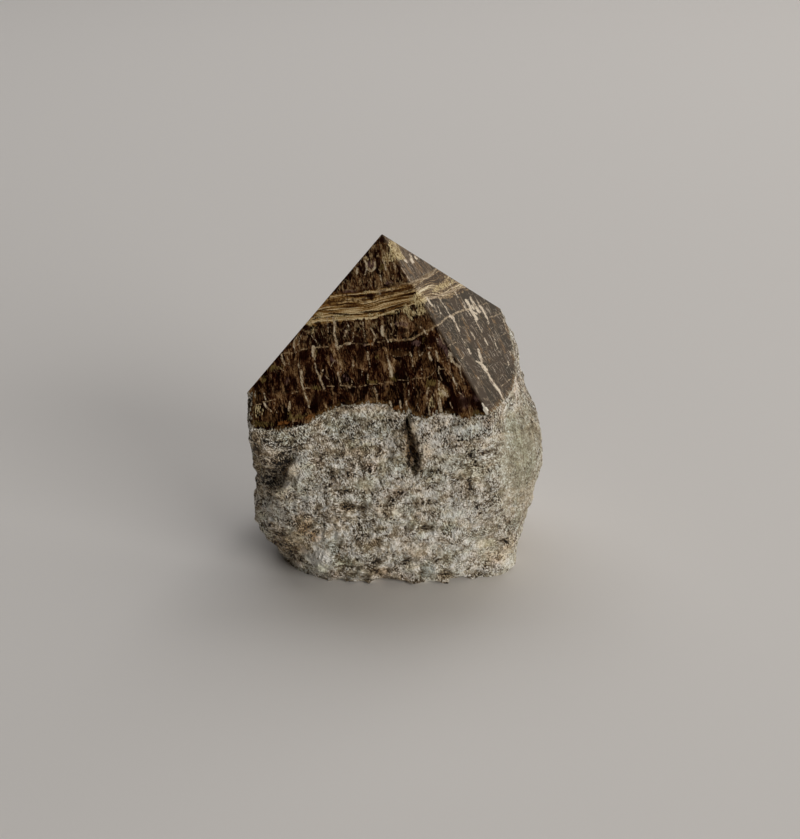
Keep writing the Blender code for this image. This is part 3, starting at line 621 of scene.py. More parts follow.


# Stains, tints and painted light and shade of the rough skin, seen from the front, in the same form. Dark marks set in
# the hollows, pits, grooves, crevice and foot gaps are painted shade; pale marks set on raised lumps are painted light.
MARKS = (
    # broad light and shade
    ("pale", 452, 450, 32, 22, 0, 0.28), ("pale", 464, 528, 20, 45, 0, 0.30), ("pale", 290, 497, 18, 13, 0, 0.8), ("buff", 280, 496, 18, 12, 0, 0.5), ("brown", 276, 466, 16, 14, -40, 0.8), ("pale", 292, 470, 2.6, 13, 33, 0.4), ("pale", 283, 492, 14, 4, -5, 0.4), ("pale", 318, 562, 12, 12, 0, 0.5), ("pale", 397, 521, 14, 9, 0, 0.4),
    ("pale", 508, 548, 9, 14, 20, 0.45), ("pale", 495, 562, 12, 8, 0, 0.45), ("pale", 430, 512, 12, 12, 0, 0.2), ("pale", 428, 440, 9, 20, -8, 0.7), ("pale", 442, 444, 8, 12, 0, 0.3), ("pale", 460, 500, 12, 12, 0, 0.2), ("pale", 442, 571, 22, 8, 0, 0.35), ("pale", 505, 565, 14, 9, 0, 0.5), ("pale", 336, 570, 8, 7, 0, 0.5), ("pale", 298, 514, 11, 9, 0, 0.5), ("pale", 460, 540, 10, 12, 0, 0.25), ("pale", 406, 524, 9, 12, 0, 0.3), ("pale", 334, 432, 14, 6, 0, 0.3), ("pale", 316, 557, 12, 10, 0, 0.7), ("pale", 460, 494, 18, 10, 0, 0.3), ("pale", 403, 516, 10, 8, 0, 0.2), ("pale", 372, 411, 22, 5, -4, 0.45), ("smooth", 368, 411, 20, 4, -4, 0.8),
    ("dark", 260, 462, 6, 14, 0, 0.4), ("dark", 352, 530, 12, 12, 0, 0.34), ("dark", 361, 445, 16, 6, 0, 0.16), ("dark", 396, 484, 14, 10, 0, 0.14), ("dark", 497, 457, 7, 7, 0, 0.35), ("dark", 316, 468, 9, 8, 0, 0.25), ("dark", 280, 446, 10, 8, 0, 0.2), ("dark", 496, 526, 8, 18, 0, 0.2), ("dark", 345, 444, 22, 6, 0, 0.12), ("dark", 280, 444, 9, 7, 0, 0.25), ("dark", 316, 460, 9, 7, 0, 0.18), ("dark", 388, 470, 8, 8, 0, 0.1),
    # left hollow, darkened with painted shade, and the lump below it, lightened with painted light
    ("dark", 284, 457, 8, 6, -30, 1.8), ("dark", 290, 450, 5, 4, 0, 1.3), ("dark", 278, 466, 6, 6, 0, 1.4), ("dark", 279, 472, 5, 5, 0, 0.5), ("dark", 269, 478, 7, 6, 0, 1.2), ("dark", 287, 462, 1.6, 8, 30, 1.0), ("dark", 283, 469, 1.4, 8, 25, 0.9), ("dark", 275, 474, 1.6, 9, 15, 0.9), ("dark", 267, 483, 1.6, 6, 10, 1.0),
    ("dark", 265, 470, 3, 3, 0, 0.7), ("dark", 260, 480, 4, 6, 0, 0.7), ("dark", 257, 473, 3, 4, 0, 0.5), ("dark", 294, 455, 2, 2, 0, 0.7), ("dark", 270, 483, 6, 2, 0, 0.6),
    ("pale", 268, 468, 1.6, 1.6, 0, 1.0), ("pale", 268, 450, 6, 2.2, 50, 0.7), ("pale", 277, 456, 3, 1.4, 50, 0.8), ("pale", 260, 438, 1.8, 6, 0, 0.6), ("pale", 271, 438, 1.8, 6, -10, 0.5),
    ("buff", 275, 431, 18, 1.8, -2, 0.7), ("cool", 283, 439, 5, 8, 0, 1.2), ("smooth", 283, 440, 5, 8, 0, 1.0), ("pale", 286, 440, 1.6, 7, 0, 0.5), ("dark", 293, 434, 4, 3, 0, 0.5), ("dark", 299, 443, 6, 1.4, 15, 0.7),
    ("pale", 297, 432, 1.4, 4, -15, 0.7), ("pale", 300, 435, 1.2, 3, -15, 0.6), ("pale", 298, 464, 3, 3, 0, 0.8), ("pale", 296, 455, 3, 3, 0, 0.6), ("buff", 290, 470, 8, 9, -40, 0.8), ("pale", 292, 472, 6, 6, 0, 0.3),
    ("pale", 298, 477, 8, 2.4, -12, 0.6), ("pale", 283, 486, 6, 2, -30, 0.4), ("buff", 275, 490, 14, 5, -5, 0.9), ("dark", 284, 481, 6, 1, -35, 0.6), ("smooth", 290, 474, 10, 6, -20, 0.1),
    ("olive", 306, 466, 8, 4, 0, 0.8), ("dark", 318, 461, 5, 3, 0, 0.6), ("dark", 321, 457, 3, 2, 0, 0.6), ("pink", 319, 462, 6, 4, 0, 0.6), ("pale", 334, 462, 4, 4.5, 0, 0.8), ("pale", 338, 467, 1.4, 5, -30, 0.7), ("smooth", 334, 462, 4, 4, 0, 0.6),
    ("dark", 330, 474, 7, 3.5, 35, 0.8), ("cool", 303, 489, 9, 4, 0, 0.5), ("dark", 305, 490, 6, 3, 0, 0.4), ("pale", 293, 492, 3, 3, 0, 0.8), ("pale", 309, 501, 4, 5, 0, 0.8), ("pale", 323, 499, 1.8, 6, -15, 0.7), ("pale", 303, 480, 5, 3, 0, 0.3),
    ("dark", 274, 493, 2.4, 2.4, 0, 0.7), ("dark", 286, 495, 1.8, 3, -15, 0.8), ("dark", 291, 489, 1.8, 3, 0, 0.6), ("pink", 335, 486, 6, 8, 0, 0.6), ("dark", 343, 492, 4, 3, 0, 0.7), ("dark", 338, 495, 2, 4, 0, 0.7),
    ("dark", 256, 450, 3, 14, 5, 0.35), ("brown", 257, 470, 6, 40, 0, 0.8), ("smooth", 256, 455, 5, 30, 0, 0.6), ("dark", 255, 449, 1.5, 3, 0, 0.6), ("dark", 258, 500, 5, 12, 0, 0.35), ("dark", 310, 478, 3, 6, 30, 0.4),
    # upper front, with painted shade in its grooves and pits and painted light on its small lumps
    ("pale", 340, 428, 9, 8, 0, 0.35), ("cool", 338, 428, 12, 10, 0, 1.0), ("pale", 324, 426, 3, 8, 0, 0.5), ("pink", 318, 425, 5, 5, 0, 0.7), ("pale", 317, 424, 3, 3, 0, 0.5), ("pale", 348, 414, 1.1, 5, -28, 0.9), ("pale", 359, 425, 1.0, 5, -12, 0.7),
    ("cool", 355, 418, 9, 7, 0, 0.8), ("smooth", 356, 418, 6, 5, 0, 0.5), ("dark", 349, 433, 13, 3, 8, 0.4), ("dark", 345, 440, 9, 3, 0, 0.35), ("olive", 378, 415, 14, 5, 0, 0.6), ("pale", 375, 413, 12, 4, 0, 0.3), ("dark", 395, 420, 11, 3, 0, 0.45),
    ("buff", 398, 411, 8, 2, 0, 0.9), ("pale", 398, 412, 8, 1.6, 0, 0.5), ("cool", 385, 430, 22, 8, 0, 0.7), ("olive", 352, 444, 7, 4, 0, 1.0), ("olive", 366, 446, 7, 4, 0, 0.9), ("pale", 353, 444, 6, 3, 0, 0.25),
    ("dark", 340, 456, 9, 1.5, 3, 0.7), ("dark", 364, 455, 11, 1.8, 2, 0.5), ("dark", 376, 455, 4, 1.5, 0, 0.8), ("brown", 355, 452, 30, 5, 2, 0.7), ("pale", 357, 458, 4, 2, 0, 0.4),
    ("pale", 390, 447, 6, 5, 0, 0.4), ("pale", 395, 443, 2, 2, 0, 0.8), ("pale", 399, 455, 1.2, 3, -20, 0.9), ("pale", 401, 458.5, 1.3, 1.3, 0, 1.0), ("pale", 392, 459, 1.5, 1.5, 0, 0.7), ("dark", 398, 451, 6, 3, -20, 0.5),
    ("pale", 402, 467, 1.1, 4, -40, 0.9), ("pale", 397, 468, 1.0, 5, -25, 0.7), ("dark", 399, 466, 1.2, 4, -30, 0.7), ("dark", 404, 464, 1.5, 3, -30, 0.5), ("cool", 400, 466, 8, 8, 0, 0.5),
    ("smooth", 383, 465, 5, 10, 0, 1.0), ("pale", 383, 464, 4, 8, 0, 0.35), ("olive", 383, 468, 5, 9, 0, 0.6), ("pink", 372, 467, 7, 4, 0, 1.0), ("dark", 371, 468, 5, 4, 0, 0.45), ("dark", 386, 468, 1.0, 4, 0, 0.5), ("dark", 394, 469, 1.0, 3, 0, 0.5),
    ("dark", 381, 484, 1.5, 6, -15, 0.7), ("dark", 346, 490, 7, 2.4, -5, 0.7), ("cool", 346, 490, 8, 3, 0, 1.0), ("dark", 401, 494, 6, 3, 0, 0.6), ("pink", 401, 494, 7, 4, 0, 0.8), ("dark", 353, 467, 2, 3, 0, 0.4),
    ("dark", 428, 473, 8, 5, 0, 0.45), ("cool", 429, 473, 8, 6, 0, 1.0), ("dark", 432, 486, 6, 4, 0, 0.55), ("dark", 415, 490.5, 6, 1.3, 0, 0.9), ("pale", 414, 487, 5, 1.3, 0, 0.8), ("cool", 413, 497, 8, 5, 0, 0.9), ("pale", 384, 496, 6, 3, 0, 0.5), ("pale", 392, 490, 1.3, 3, 0, 0.7),
    ("smooth", 360, 482, 10, 6, 0, 0.5), ("olive", 362, 484, 12, 6, 0, 0.5), ("dark", 408, 480, 3, 4, 0, 0.4),
    # crevice, darkened down its length with painted shade, and its sides
    ("dark", 407, 421, 2.6, 4, -10, 1.0), ("dark", 405, 430, 3.5, 5, -20, 0.6), ("dark", 409, 430, 1.4, 8, -18, 0.9), ("dark", 412, 439, 2.4, 6, -15, 0.9), ("dark", 411.5, 450, 3.4, 6, 0, 0.9), ("dark", 408, 448, 3, 4, 0, 0.4), ("dark", 417, 456, 1.8, 7, -8, 1.0), ("brown", 411, 447, 7, 28, -8, 1.0), ("rust", 411, 450, 6, 14, 0, 1.0), ("pale", 404, 458, 1.2, 5, 5, 0.5),
    ("dark", 409, 460, 1.8, 5, 5, 0.7), ("dark", 414, 471, 2.2, 6, 0, 0.9), ("dark", 411, 466, 1.4, 4, -30, 1.0), ("pink", 413, 459, 2.4, 3, 0, 0.9), ("pale", 413, 459, 1.6, 2.4, 0, 0.5), ("buff", 413, 427, 5, 5, 0, 0.8), ("pale", 413, 427, 5, 5, 0, 0.6), ("smooth", 413, 428, 4, 4, 0, 0.8),
    ("pale", 426, 424, 6, 5, 0, 0.5), ("buff", 426, 450, 9, 9, 0, 0.8), ("pale", 425, 448, 8, 8, 0, 0.3), ("dark", 411, 413, 2, 5, 0, 0.8), ("pale", 415, 419, 3, 1.6, 0, 0.5),
    # right of the crevice, with painted shade in its pits and painted light on its small lumps
    ("pale", 437, 443, 5, 2.4, -45, 0.7), ("pale", 431, 441, 3, 3, 0, 0.4), ("pale", 462, 431, 1.2, 5, -28, 0.8), ("pale", 471, 436, 3, 4, 0, 0.7), ("pale", 481, 432, 6, 1.3, -25, 0.9), ("pale", 474, 429, 10, 7, 0, 0.8), ("cool", 472, 428, 14, 8, 0, 0.8), ("smooth", 476, 428, 8, 6, 0, 0.5),
    ("dark", 452, 424, 5, 5, 0, 0.6), ("dark", 446, 444, 3, 6, 0, 0.6), ("dark", 483, 435, 2.4, 2, 0, 0.8), ("dark", 478, 438, 3, 2, 0, 0.5), ("dark", 491, 432, 1.3, 4, -10, 0.7), ("dark", 456, 436, 2, 4, 0, 0.4),
    ("buff", 466, 446, 5, 5, 0, 0.8), ("pale", 466, 446, 4, 4, 0, 0.35), ("pale", 481, 444, 2, 2, 0, 0.8), ("buff", 484, 446, 3, 3, 0, 0.8), ("buff", 443, 458, 6, 6, 0, 0.7), ("pale", 443, 458, 6, 5, 0, 0.4), ("pale", 449, 461, 3, 3, 0, 0.5), ("smooth", 443, 457, 4, 4, 0, 0.6),
    ("dark", 471, 455, 3.4, 2, 0, 1.0), ("dark", 475, 462, 2, 6, 0, 0.6), ("dark", 484, 453, 4, 1.5, -20, 1.0), ("dark", 492, 450.5, 5, 1.4, -15, 0.9), ("dark", 497, 446, 1.5, 3, 0, 0.7), ("dark", 486, 470, 5, 2.6, 0, 0.9), ("dark", 493, 468, 1.6, 4, 0, 0.7),
    ("dark", 460, 478, 7, 2.4, 0, 0.5), ("dark", 454, 482, 3, 2, 0, 0.6), ("dark", 450, 465, 2.4, 2.4, -40, 0.7), ("dark", 470, 487, 3, 5, 0, 0.5), ("dark", 469, 494, 4, 2, 0, 0.6), ("olive", 476, 472, 16, 10, 0, 0.7), ("pale", 443, 475, 1.8, 5, -15, 0.8), ("pale", 472, 471, 1.8, 5, -15, 0.4),
    ("smooth", 458, 474, 8, 4, 0, 0.7), ("smooth", 483, 486, 7, 4, 0, 0.8), ("pale", 483, 486, 7, 4, 0, 0.25), ("pale", 480, 489.5, 7, 0.9, 0, 0.6), ("pale", 488, 461, 4, 1.2, -20, 0.5),
    ("pink", 488, 422, 7, 6, 0, 0.9), ("dark", 487, 420, 5, 3, 0, 0.3), ("pale", 493, 419, 5, 0.8, 42, 0.6), ("cool", 512, 428, 9, 16, 0, 0.9), ("buff", 531, 432, 6, 10, 0, 0.4), ("dark", 530, 428, 4, 4, 0, 0.25), ("dark", 536, 421, 3, 3, 0, 0.3), ("olive", 524, 445, 8, 7, 0, 0.2),
    ("pale", 506, 418, 3, 9, 0, 0.35), ("smooth", 519, 460, 20, 50, 0, 1.0), ("cool", 515, 462, 20, 34, 0, 1.0), ("cool", 530, 440, 12, 40, 0, 0.8), ("pale", 515, 385, 3, 9, -15, 1.1), ("pink", 516, 385, 4, 10, -15, 0.8), ("dark", 519.5, 385, 0.8, 9, -12, 0.9), ("dark", 522, 427, 1.5, 3, 0, 0.4), ("pale", 505, 462, 14, 26, 0, 0.12),
    # middle, with painted shade in its pits and painted light on its small lumps
    ("dark", 347, 507, 7, 4.5, 30, 0.75), ("brown", 347, 507, 8, 6, 30, 1.0), ("dark", 362, 506, 3, 5, 0, 0.7), ("dark", 375, 505, 2.4, 2, 0, 0.8), ("dark", 392, 500, 2, 3, 0, 0.5), ("pale", 386, 512, 13, 5, 0, 0.4), ("buff", 386, 511, 16, 7, 0, 0.9), ("pale", 374, 508, 2, 2, 0, 1.0),
    ("pale", 380, 513, 1.6, 5, -30, 0.8), ("dark", 385, 515, 1.6, 2.4, 0, 0.8), ("dark", 374, 519, 2.6, 2, 0, 0.8), ("dark", 392, 519, 2, 1.4, 0, 0.9), ("dark", 365, 521, 8, 5, 0, 0.5), ("dark", 364, 535, 10, 6, 0, 0.45), ("dark", 376, 532, 1.6, 3, 0, 0.8), ("dark", 368, 538, 3, 2, 0, 0.6),
    ("pale", 380, 523.5, 8, 1.4, -5, 0.4), ("dark", 380, 529, 4, 3, 0, 0.35), ("brown", 372, 544, 10, 5, 0, 0.9), ("dark", 372, 545, 9, 4, 0, 0.4), ("smooth", 372, 547, 10, 5, 0, 0.5), ("pale", 395, 551, 8, 7, 0, 0.45), ("pale", 382, 552, 8, 5, 0, 0.25), ("smooth", 392, 548, 14, 8, 0, 0.5),
    ("dark", 402, 549, 0.9, 7, -18, 0.7), ("dark", 388, 551, 0.9, 6, 4, 0.4), ("dark", 405, 559, 5, 3, 0, 0.7), ("dark", 373, 560, 5, 4.5, 30, 0.9), ("dark", 391, 562, 9, 2.4, 0, 0.45), ("dark", 387, 570, 2.8, 2.6, 0, 1.5), ("dark", 395, 569, 3, 2, 0, 0.6), ("pale", 412, 566, 7, 3, 0, 0.45), ("buff", 412, 566, 8, 4, 0, 0.7),
    ("dark", 405, 531, 1.6, 5, 0, 1.0), ("dark", 416, 516.5, 4, 1.2, -25, 0.9), ("dark", 422, 512, 3, 1.1, 20, 0.9), ("dark", 427, 529, 6, 3.5, -20, 0.7), ("dark", 424, 503, 8, 4, 0, 0.5), ("olive", 415, 522, 6, 5, 0, 0.8), ("pale", 415, 521, 5, 4, 0, 0.35), ("pale", 407, 513, 5, 5, 0, 0.3), ("smooth", 413, 519, 7, 6, 0, 0.8),
    ("pale", 428, 541, 6, 1.5, 48, 0.9), ("pale", 432, 545, 2, 2, 0, 0.5), ("smooth", 416, 552, 9, 8, 0, 1.0), ("buff", 416, 552, 10, 8, 0, 0.6), ("dark", 431, 538, 3, 2, 0, 0.5), ("pink", 420, 516, 8, 4, 0, 0.5), ("dark", 395, 533, 6, 3, 0, 0.2),
    ("pale", 442, 505, 4, 4, 0, 0.9), ("dark", 437, 506, 2, 3, 0, 0.7), ("dark", 464, 507, 3.4, 1.4, -20, 0.8), ("smooth", 450, 511, 7, 7, 0, 0.9), ("cool", 450, 512, 7, 7, 0, 0.5), ("dark", 475, 500, 1.6, 6, 0, 0.9), ("dark", 480, 508, 1.2, 4, -20, 0.8), ("dark", 484, 513, 2, 3, 0, 0.7), ("dark", 432, 514, 3, 3, 0, 0.4),
    ("dark", 446, 530, 5, 4, 0, 0.8), ("cool", 446, 529, 6, 4, 0, 0.8), ("olive", 450, 524, 8, 4, 0, 0.8), ("pale", 453, 536, 1.8, 8, 10, 0.8), ("pale", 460, 533, 2, 3, 0, 0.6), ("pale", 479, 526, 4, 4, 0, 0.5), ("pale", 470, 541, 6, 4, 0, 0.3), ("pale", 464, 555, 3, 3.4, 0, 0.9), ("pink", 462, 524, 6, 4, 0, 0.6),
    ("cool", 447, 556, 9, 7, 0, 1.2), ("dark", 446, 557, 8, 6, 0, 0.4), ("smooth", 447, 556, 8, 6, 0, 0.7), ("dark", 437, 560, 3, 3, 0, 0.5), ("cool", 434, 548, 6, 6, 0, 0.8), ("pale", 432, 545, 4, 3, 0, 0.3), ("pale", 455, 560, 3, 3, 0, 0.5), ("smooth", 449, 543, 6, 5, 0, 0.7),
    # right-hand crease and flange, with painted shade in the crease and a painted shadow under the foot
    ("dark", 504, 518, 1.5, 4, -25, 0.8), ("dark", 508, 528, 2.0, 8, 0, 0.9), ("dark", 505, 541, 4, 3, -40, 0.8), ("dark", 498, 543, 3, 3, 0, 0.5), ("dark", 500, 547, 6, 0.9, 10, 0.7), ("dark", 501, 508, 1.4, 3, 0, 0.5), ("dark", 493, 529, 8, 6, 0, 0.25), ("cool", 517, 508, 4, 12, 0, 1.0), ("cool", 515, 525, 5, 6, 0, 1.0),
    ("olive", 488, 543, 9, 5, 0, 1.0), ("smooth", 487, 544, 9, 5, 0, 1.0), ("smooth", 492, 530, 8, 7, 0, 0.5), ("buff", 510, 545, 5, 9, 25, 1.2), ("pale", 509, 546, 4, 6, 25, 0.25), ("buff", 495, 556, 12, 7, 0, 1.3), ("dark", 498, 557, 2.4, 2.6, 0, 0.9), ("dark", 507, 557, 2.4, 2, 0, 0.6), ("dark", 485, 566, 2.6, 2.6, 0, 1.0),
    ("dark", 493, 567, 2.4, 2, 0, 0.7), ("dark", 488, 572, 3, 2, 0, 0.9), ("dark", 501, 569, 5, 1.6, -30, 0.7), ("dark", 478, 575, 7, 2.4, 0, 1.4), ("dark", 469, 568, 5.5, 0.9, -45, 1.0), ("pale", 471, 569, 5, 0.8, -45, 0.8), ("pink", 495, 563, 10, 5, 0, 0.6), ("olive", 482, 552, 5, 4, 0, 0.7),
    # lower left, with painted shade in its hollow
    ("olive", 262, 515, 6, 5, 0, 0.8), ("pale", 262, 515, 5, 4, 0, 0.35), ("cool", 285, 506, 12, 8, 0, 0.4), ("pale", 286, 506, 8, 5, 0, 0.2), ("pale", 307, 511, 5, 1.6, 38, 1.0), ("pale", 320.5, 511, 9, 0.8, -38, 1.1), ("pale", 325, 507, 3, 0.8, -20, 0.8), ("pale", 310, 521, 6, 0.8, -48, 0.8), ("dark", 318, 517, 5, 1.0, -42, 0.9), ("dark", 309, 526, 6, 2.4, -48, 0.8),
    ("dark", 323, 524, 5, 0.9, 40, 1.1), ("buff", 304, 523, 9, 9, 0, 1.3), ("rust", 305, 526, 8, 7, -30, 0.7), ("rust", 303, 533, 8, 3.5, 0, 0.7), ("rust", 313, 535, 3, 6, 10, 1.6), ("dark", 313, 536, 3, 5, 10, 0.5), ("dark", 317, 531, 4, 1.8, -10, 0.8), ("dark", 325, 535, 1.6, 5, 0, 0.4), ("pink", 318, 535, 5, 5, 0, 0.6), ("rust", 319, 538, 4, 3, 0, 0.5),
    ("dark", 295, 517, 4, 2, 0, 0.6), ("dark", 284, 525, 4, 3, 0, 0.3), ("brown", 288, 545, 22, 18, 0, 1.0), ("dark", 272, 545, 5, 6, 0, 0.8), ("dark", 279, 546, 3, 5, 0, 0.6), ("dark", 291, 545, 8, 6, 0, 0.6), ("dark", 293, 555, 4, 4, 0, 0.8), ("dark", 300, 559, 3, 2.4, 0, 1.0), ("dark", 311, 552, 3, 3, 0, 0.8), ("dark", 309, 566, 6, 5, 0, 0.55), ("dark", 285, 534, 7, 3, 0, 0.5), ("dark", 277, 535, 5, 2, 0, 0.5),
    ("pink", 303, 549, 6, 5, 0, 0.6), ("smooth", 303, 549, 5, 4, 0, 0.7), ("pink", 298, 563, 6, 5, 0, 0.6), ("smooth", 298, 563, 5, 4, 0, 0.6), ("dark", 262, 530, 5, 10, 0, 0.3), ("pale", 283, 553, 3, 1.6, 20, 0.5),
    ("pale", 321, 555, 6.5, 5.5, 10, 1.0), ("dark", 319.5, 556, 1.8, 2.4, 30, 0.9), ("pale", 315, 546, 4, 1.6, -30, 1.0), ("pale", 326, 561, 2, 3, 0, 0.7), ("pale", 313, 562, 3, 3, 0, 0.8), ("olive", 322, 568, 9, 4, 0, 0.8), ("pale", 322, 568, 8, 4, 0, 0.4), ("pale", 326, 572, 3, 3, 0, 0.5), ("pale", 337, 566, 6, 1.8, -15, 0.6), ("smooth", 321, 566, 6, 4, 0, 0.6),
    ("cool", 333, 546, 7, 10, 0, 1.3), ("dark", 332, 546, 6, 8, 0, 0.4), ("smooth", 330, 534, 4, 5, 0, 0.4), ("dark", 340, 553, 4, 4, 0, 0.4), ("dark", 343, 560, 5, 4, 0, 0.5), ("olive", 344, 562, 8, 5, 0, 0.9), ("pink", 335, 576, 7, 6, 0, 0.7), ("dark", 333, 574, 4, 3, 0, 0.3), ("dark", 339, 583, 4, 1.6, 0, 1.0),
    # foot, with painted shadow along the gaps where it lifts off the floor
    ("dark", 350, 567, 11, 1.6, 3, 0.7), ("pale", 344, 565, 5, 1.4, 0, 0.4), ("smooth", 355, 574, 9, 3, 8, 0.8), ("dark", 355, 573, 8, 2.4, 8, 0.4), ("pale", 356, 579, 6, 2, 0, 0.45), ("dark", 365, 579, 6, 2.4, 25, 0.7), ("pale", 373, 575, 5, 3.4, 0, 0.5), ("pale", 366, 569, 3, 2, 0, 0.5), ("brown", 380, 572, 12, 5, 0, 0.7), ("dark", 378, 571, 5, 2, 0, 0.4),
    ("dark", 352, 582.5, 5, 1.2, 0, 0.8), ("dark", 390, 578, 4, 1.2, 10, 0.7), ("pink", 386, 575, 6, 4, 0, 0.6), ("pale", 390, 574, 3, 2, 0, 0.4), ("pale", 411, 576, 2, 5, 0, 0.6), ("dark", 403, 580, 1.4, 4, -20, 0.8), ("dark", 421, 575, 1.3, 6, 0, 0.8), ("cool", 428, 572, 7, 8, 0, 1.2), ("pink", 405, 577, 10, 5, 0, 0.6), ("pale", 430, 570, 5, 4, 0, 0.2),
    ("dark", 448, 573, 4.5, 3, 10, 0.8), ("brown", 446, 574, 8, 5, 0, 0.9), ("dark", 443, 583.5, 14, 0.9, 0, 0.9), ("pale", 452, 568, 6, 3, 0, 0.35), ("dark", 440, 568, 3, 3, 0, 0.3), ("buff", 440, 578, 10, 4, 0, 0.5), ("pale", 462, 575, 5, 3, 0, 0.3), ("dark", 421, 583, 8, 1.4, 0, 0.4),
)
KINDS = ("dark", "pale", "rust", "cool", "brown", "olive", "smooth", "pink", "buff", "gold", "mauve", "chip")


def strokes(rows):
    """Pieces of vein, (ends, half-width) in pixels, sorted into bins."""
    pieces = [(a, b, row[0]) for row in rows for a, b in zip(row[1:], row[2:])]
    return binned(pieces, lambda s: (min(s[0][0], s[1][0]) - 9, min(s[0][1], s[1][1]) - 9,
                                     max(s[0][0], s[1][0]) + 9, max(s[0][1], s[1][1]) + 9))


def nearness(px, py, bins):
    """Distance from a vein's edge in millimetres, negative inside it."""
    best = 8.0
    for (ax, ay), (bx, by), half in bins.get((int(px // BIN), int(py // BIN)), ()):
        dx, dy = bx - ax, by - ay
        t = min(max(((px - ax) * dx + (py - ay) * dy) / (dx * dx + dy * dy), 0.0), 1.0)
        best = min(best, math.hypot(px - ax - dx * t, py - ay - dy * t) - 0.8 * half)
    return best / 4.5


MARK_BINS = binned(MARKS, lambda row: oval_box(*row[1:5]))
PATCH_BINS = binned(PATCHES, lambda row: oval_box(*row[1:5]))


def marks_at(p, bins, warp):
    """Strength of each kind of mark at a point that the viewer sees."""
    px, py = to_pixel(p)
    du = warp * noise.noise(p / 1.1 + wobble) + 0.6 * warp * noise.noise(p / 0.45 + wobble)
    dv = warp * noise.noise(p / 1.1 - wobble) + 0.6 * warp * noise.noise(p / 0.45 - wobble)
    found = dict.fromkeys(KINDS, 0.0)
    for kind, u, v, ru, rv, turn, strength in bins.get((int(px // BIN), int(py // BIN)), ()):
        # a thin mark keeps a cleaner line than a broad stain
        loose = 0.3 if min(ru, rv) < 1.7 else 1.0
        found[kind] += strength * within(u, v, ru, rv, turn, px + loose * du, py + loose * dv)
    return found


def dress(bm):
    """Store what the materials read: on each vertex, and on each facet's corners for what jumps at a ridge."""
    below = bm.verts.layers.float["below"]
    layer = {name: bm.verts.layers.float.new(name)
             for name in ("grow", "rim", "vein_cream", "vein_tan", "vein_line") + KINDS}
    side, toward_right = bm.loops.layers.float.new("across"), bm.loops.layers.float.new("toward_right")
    veins = {"vein_cream": strokes(CREAM), "vein_tan": strokes(TAN), "vein_line": strokes(LINES)}
    rim_points = [v.co.copy() for v in bm.verts
                  if len({f.material_index == 0 for f in v.link_faces}) == 2]
    tree = kdtree.KDTree(len(rim_points))
    for k, co in enumerate(rim_points):
        tree.insert(co, k)
    tree.balance()
    facet_of = {tag: name for name, tag in TAGS.items()}
    for v in bm.verts:
        p = v.co + CENTRE
        v[layer["grow"]] = growth(p)
        polished = sum(f.material_index > 0 for f in v.link_faces)
        near = tree.find(v.co)[2] if (polished or v[below] < 6.0) else 6.0
        v[layer["rim"]] = min(near, 6.0)
        towards = v.normal.dot((EYE - v.co).normalized())
        for name in veins:
            v[layer[name]] = 2.0
        if towards <= 0.0:
            continue
        if polished:
            px, py = to_pixel(v.co)
            for name, bins in veins.items():
                v[layer[name]] = nearness(px, py, bins)
        bins, warp = (PATCH_BINS, 1.6) if polished == len(v.link_faces) else (MARK_BINS, 3.0)
        facing = min(1.0, towards * 3.0)
        for kind, strength in marks_at(v.co, bins, warp).items():
            if strength:
                v[layer[kind]] = strength * facing
    span = NORMALS["front"].angle(NORMALS["right"])
    for f in bm.faces:
        name = facet_of.get(f.material_index)
        if f.material_index in (EDGE_TAG, RIDGE_TAG):
            name = max(NORMALS, key=lambda n: NORMALS[n].dot(f.normal))
        turned = min(f.normal.angle(NORMALS["front"]) / span, 1.0) if f.material_index == RIDGE_TAG else float(name == "right")
        for loop in f.loops:
            p = loop.vert.co + CENTRE
            loop[side] = across(p, name) if name else p.x + p.y
            loop[toward_right] = turned


bm.normal_update()
dress(bm)
for face in bm.faces:
    flat = face.material_index > 0
    face.smooth = not flat or face.material_index == RIDGE_TAG
    face.material_index = 0 if flat else 1
for edge in bm.edges:
    if len({f.material_index for f in edge.link_faces}) == 2:
        edge.smooth = False
for vert in bm.verts:
    vert.co *= MM
mesh = bpy.data.meshes.new("aragonite_stone")
bm.to_mesh(mesh)
bm.free()
stone = bpy.data.objects.new("aragonite_stone", mesh)
bpy.context.scene.collection.objects.link(stone)

# =====================================================================================
# Materials
# =====================================================================================


def rgb(r, g, b):
    """An 8-bit screen colour as linear light."""
    def one(c):
        c /= 255.0
        return c / 12.92 if c <= 0.04045 else ((c + 0.055) / 1.055) ** 2.4
    return (one(r), one(g), one(b), 1.0)


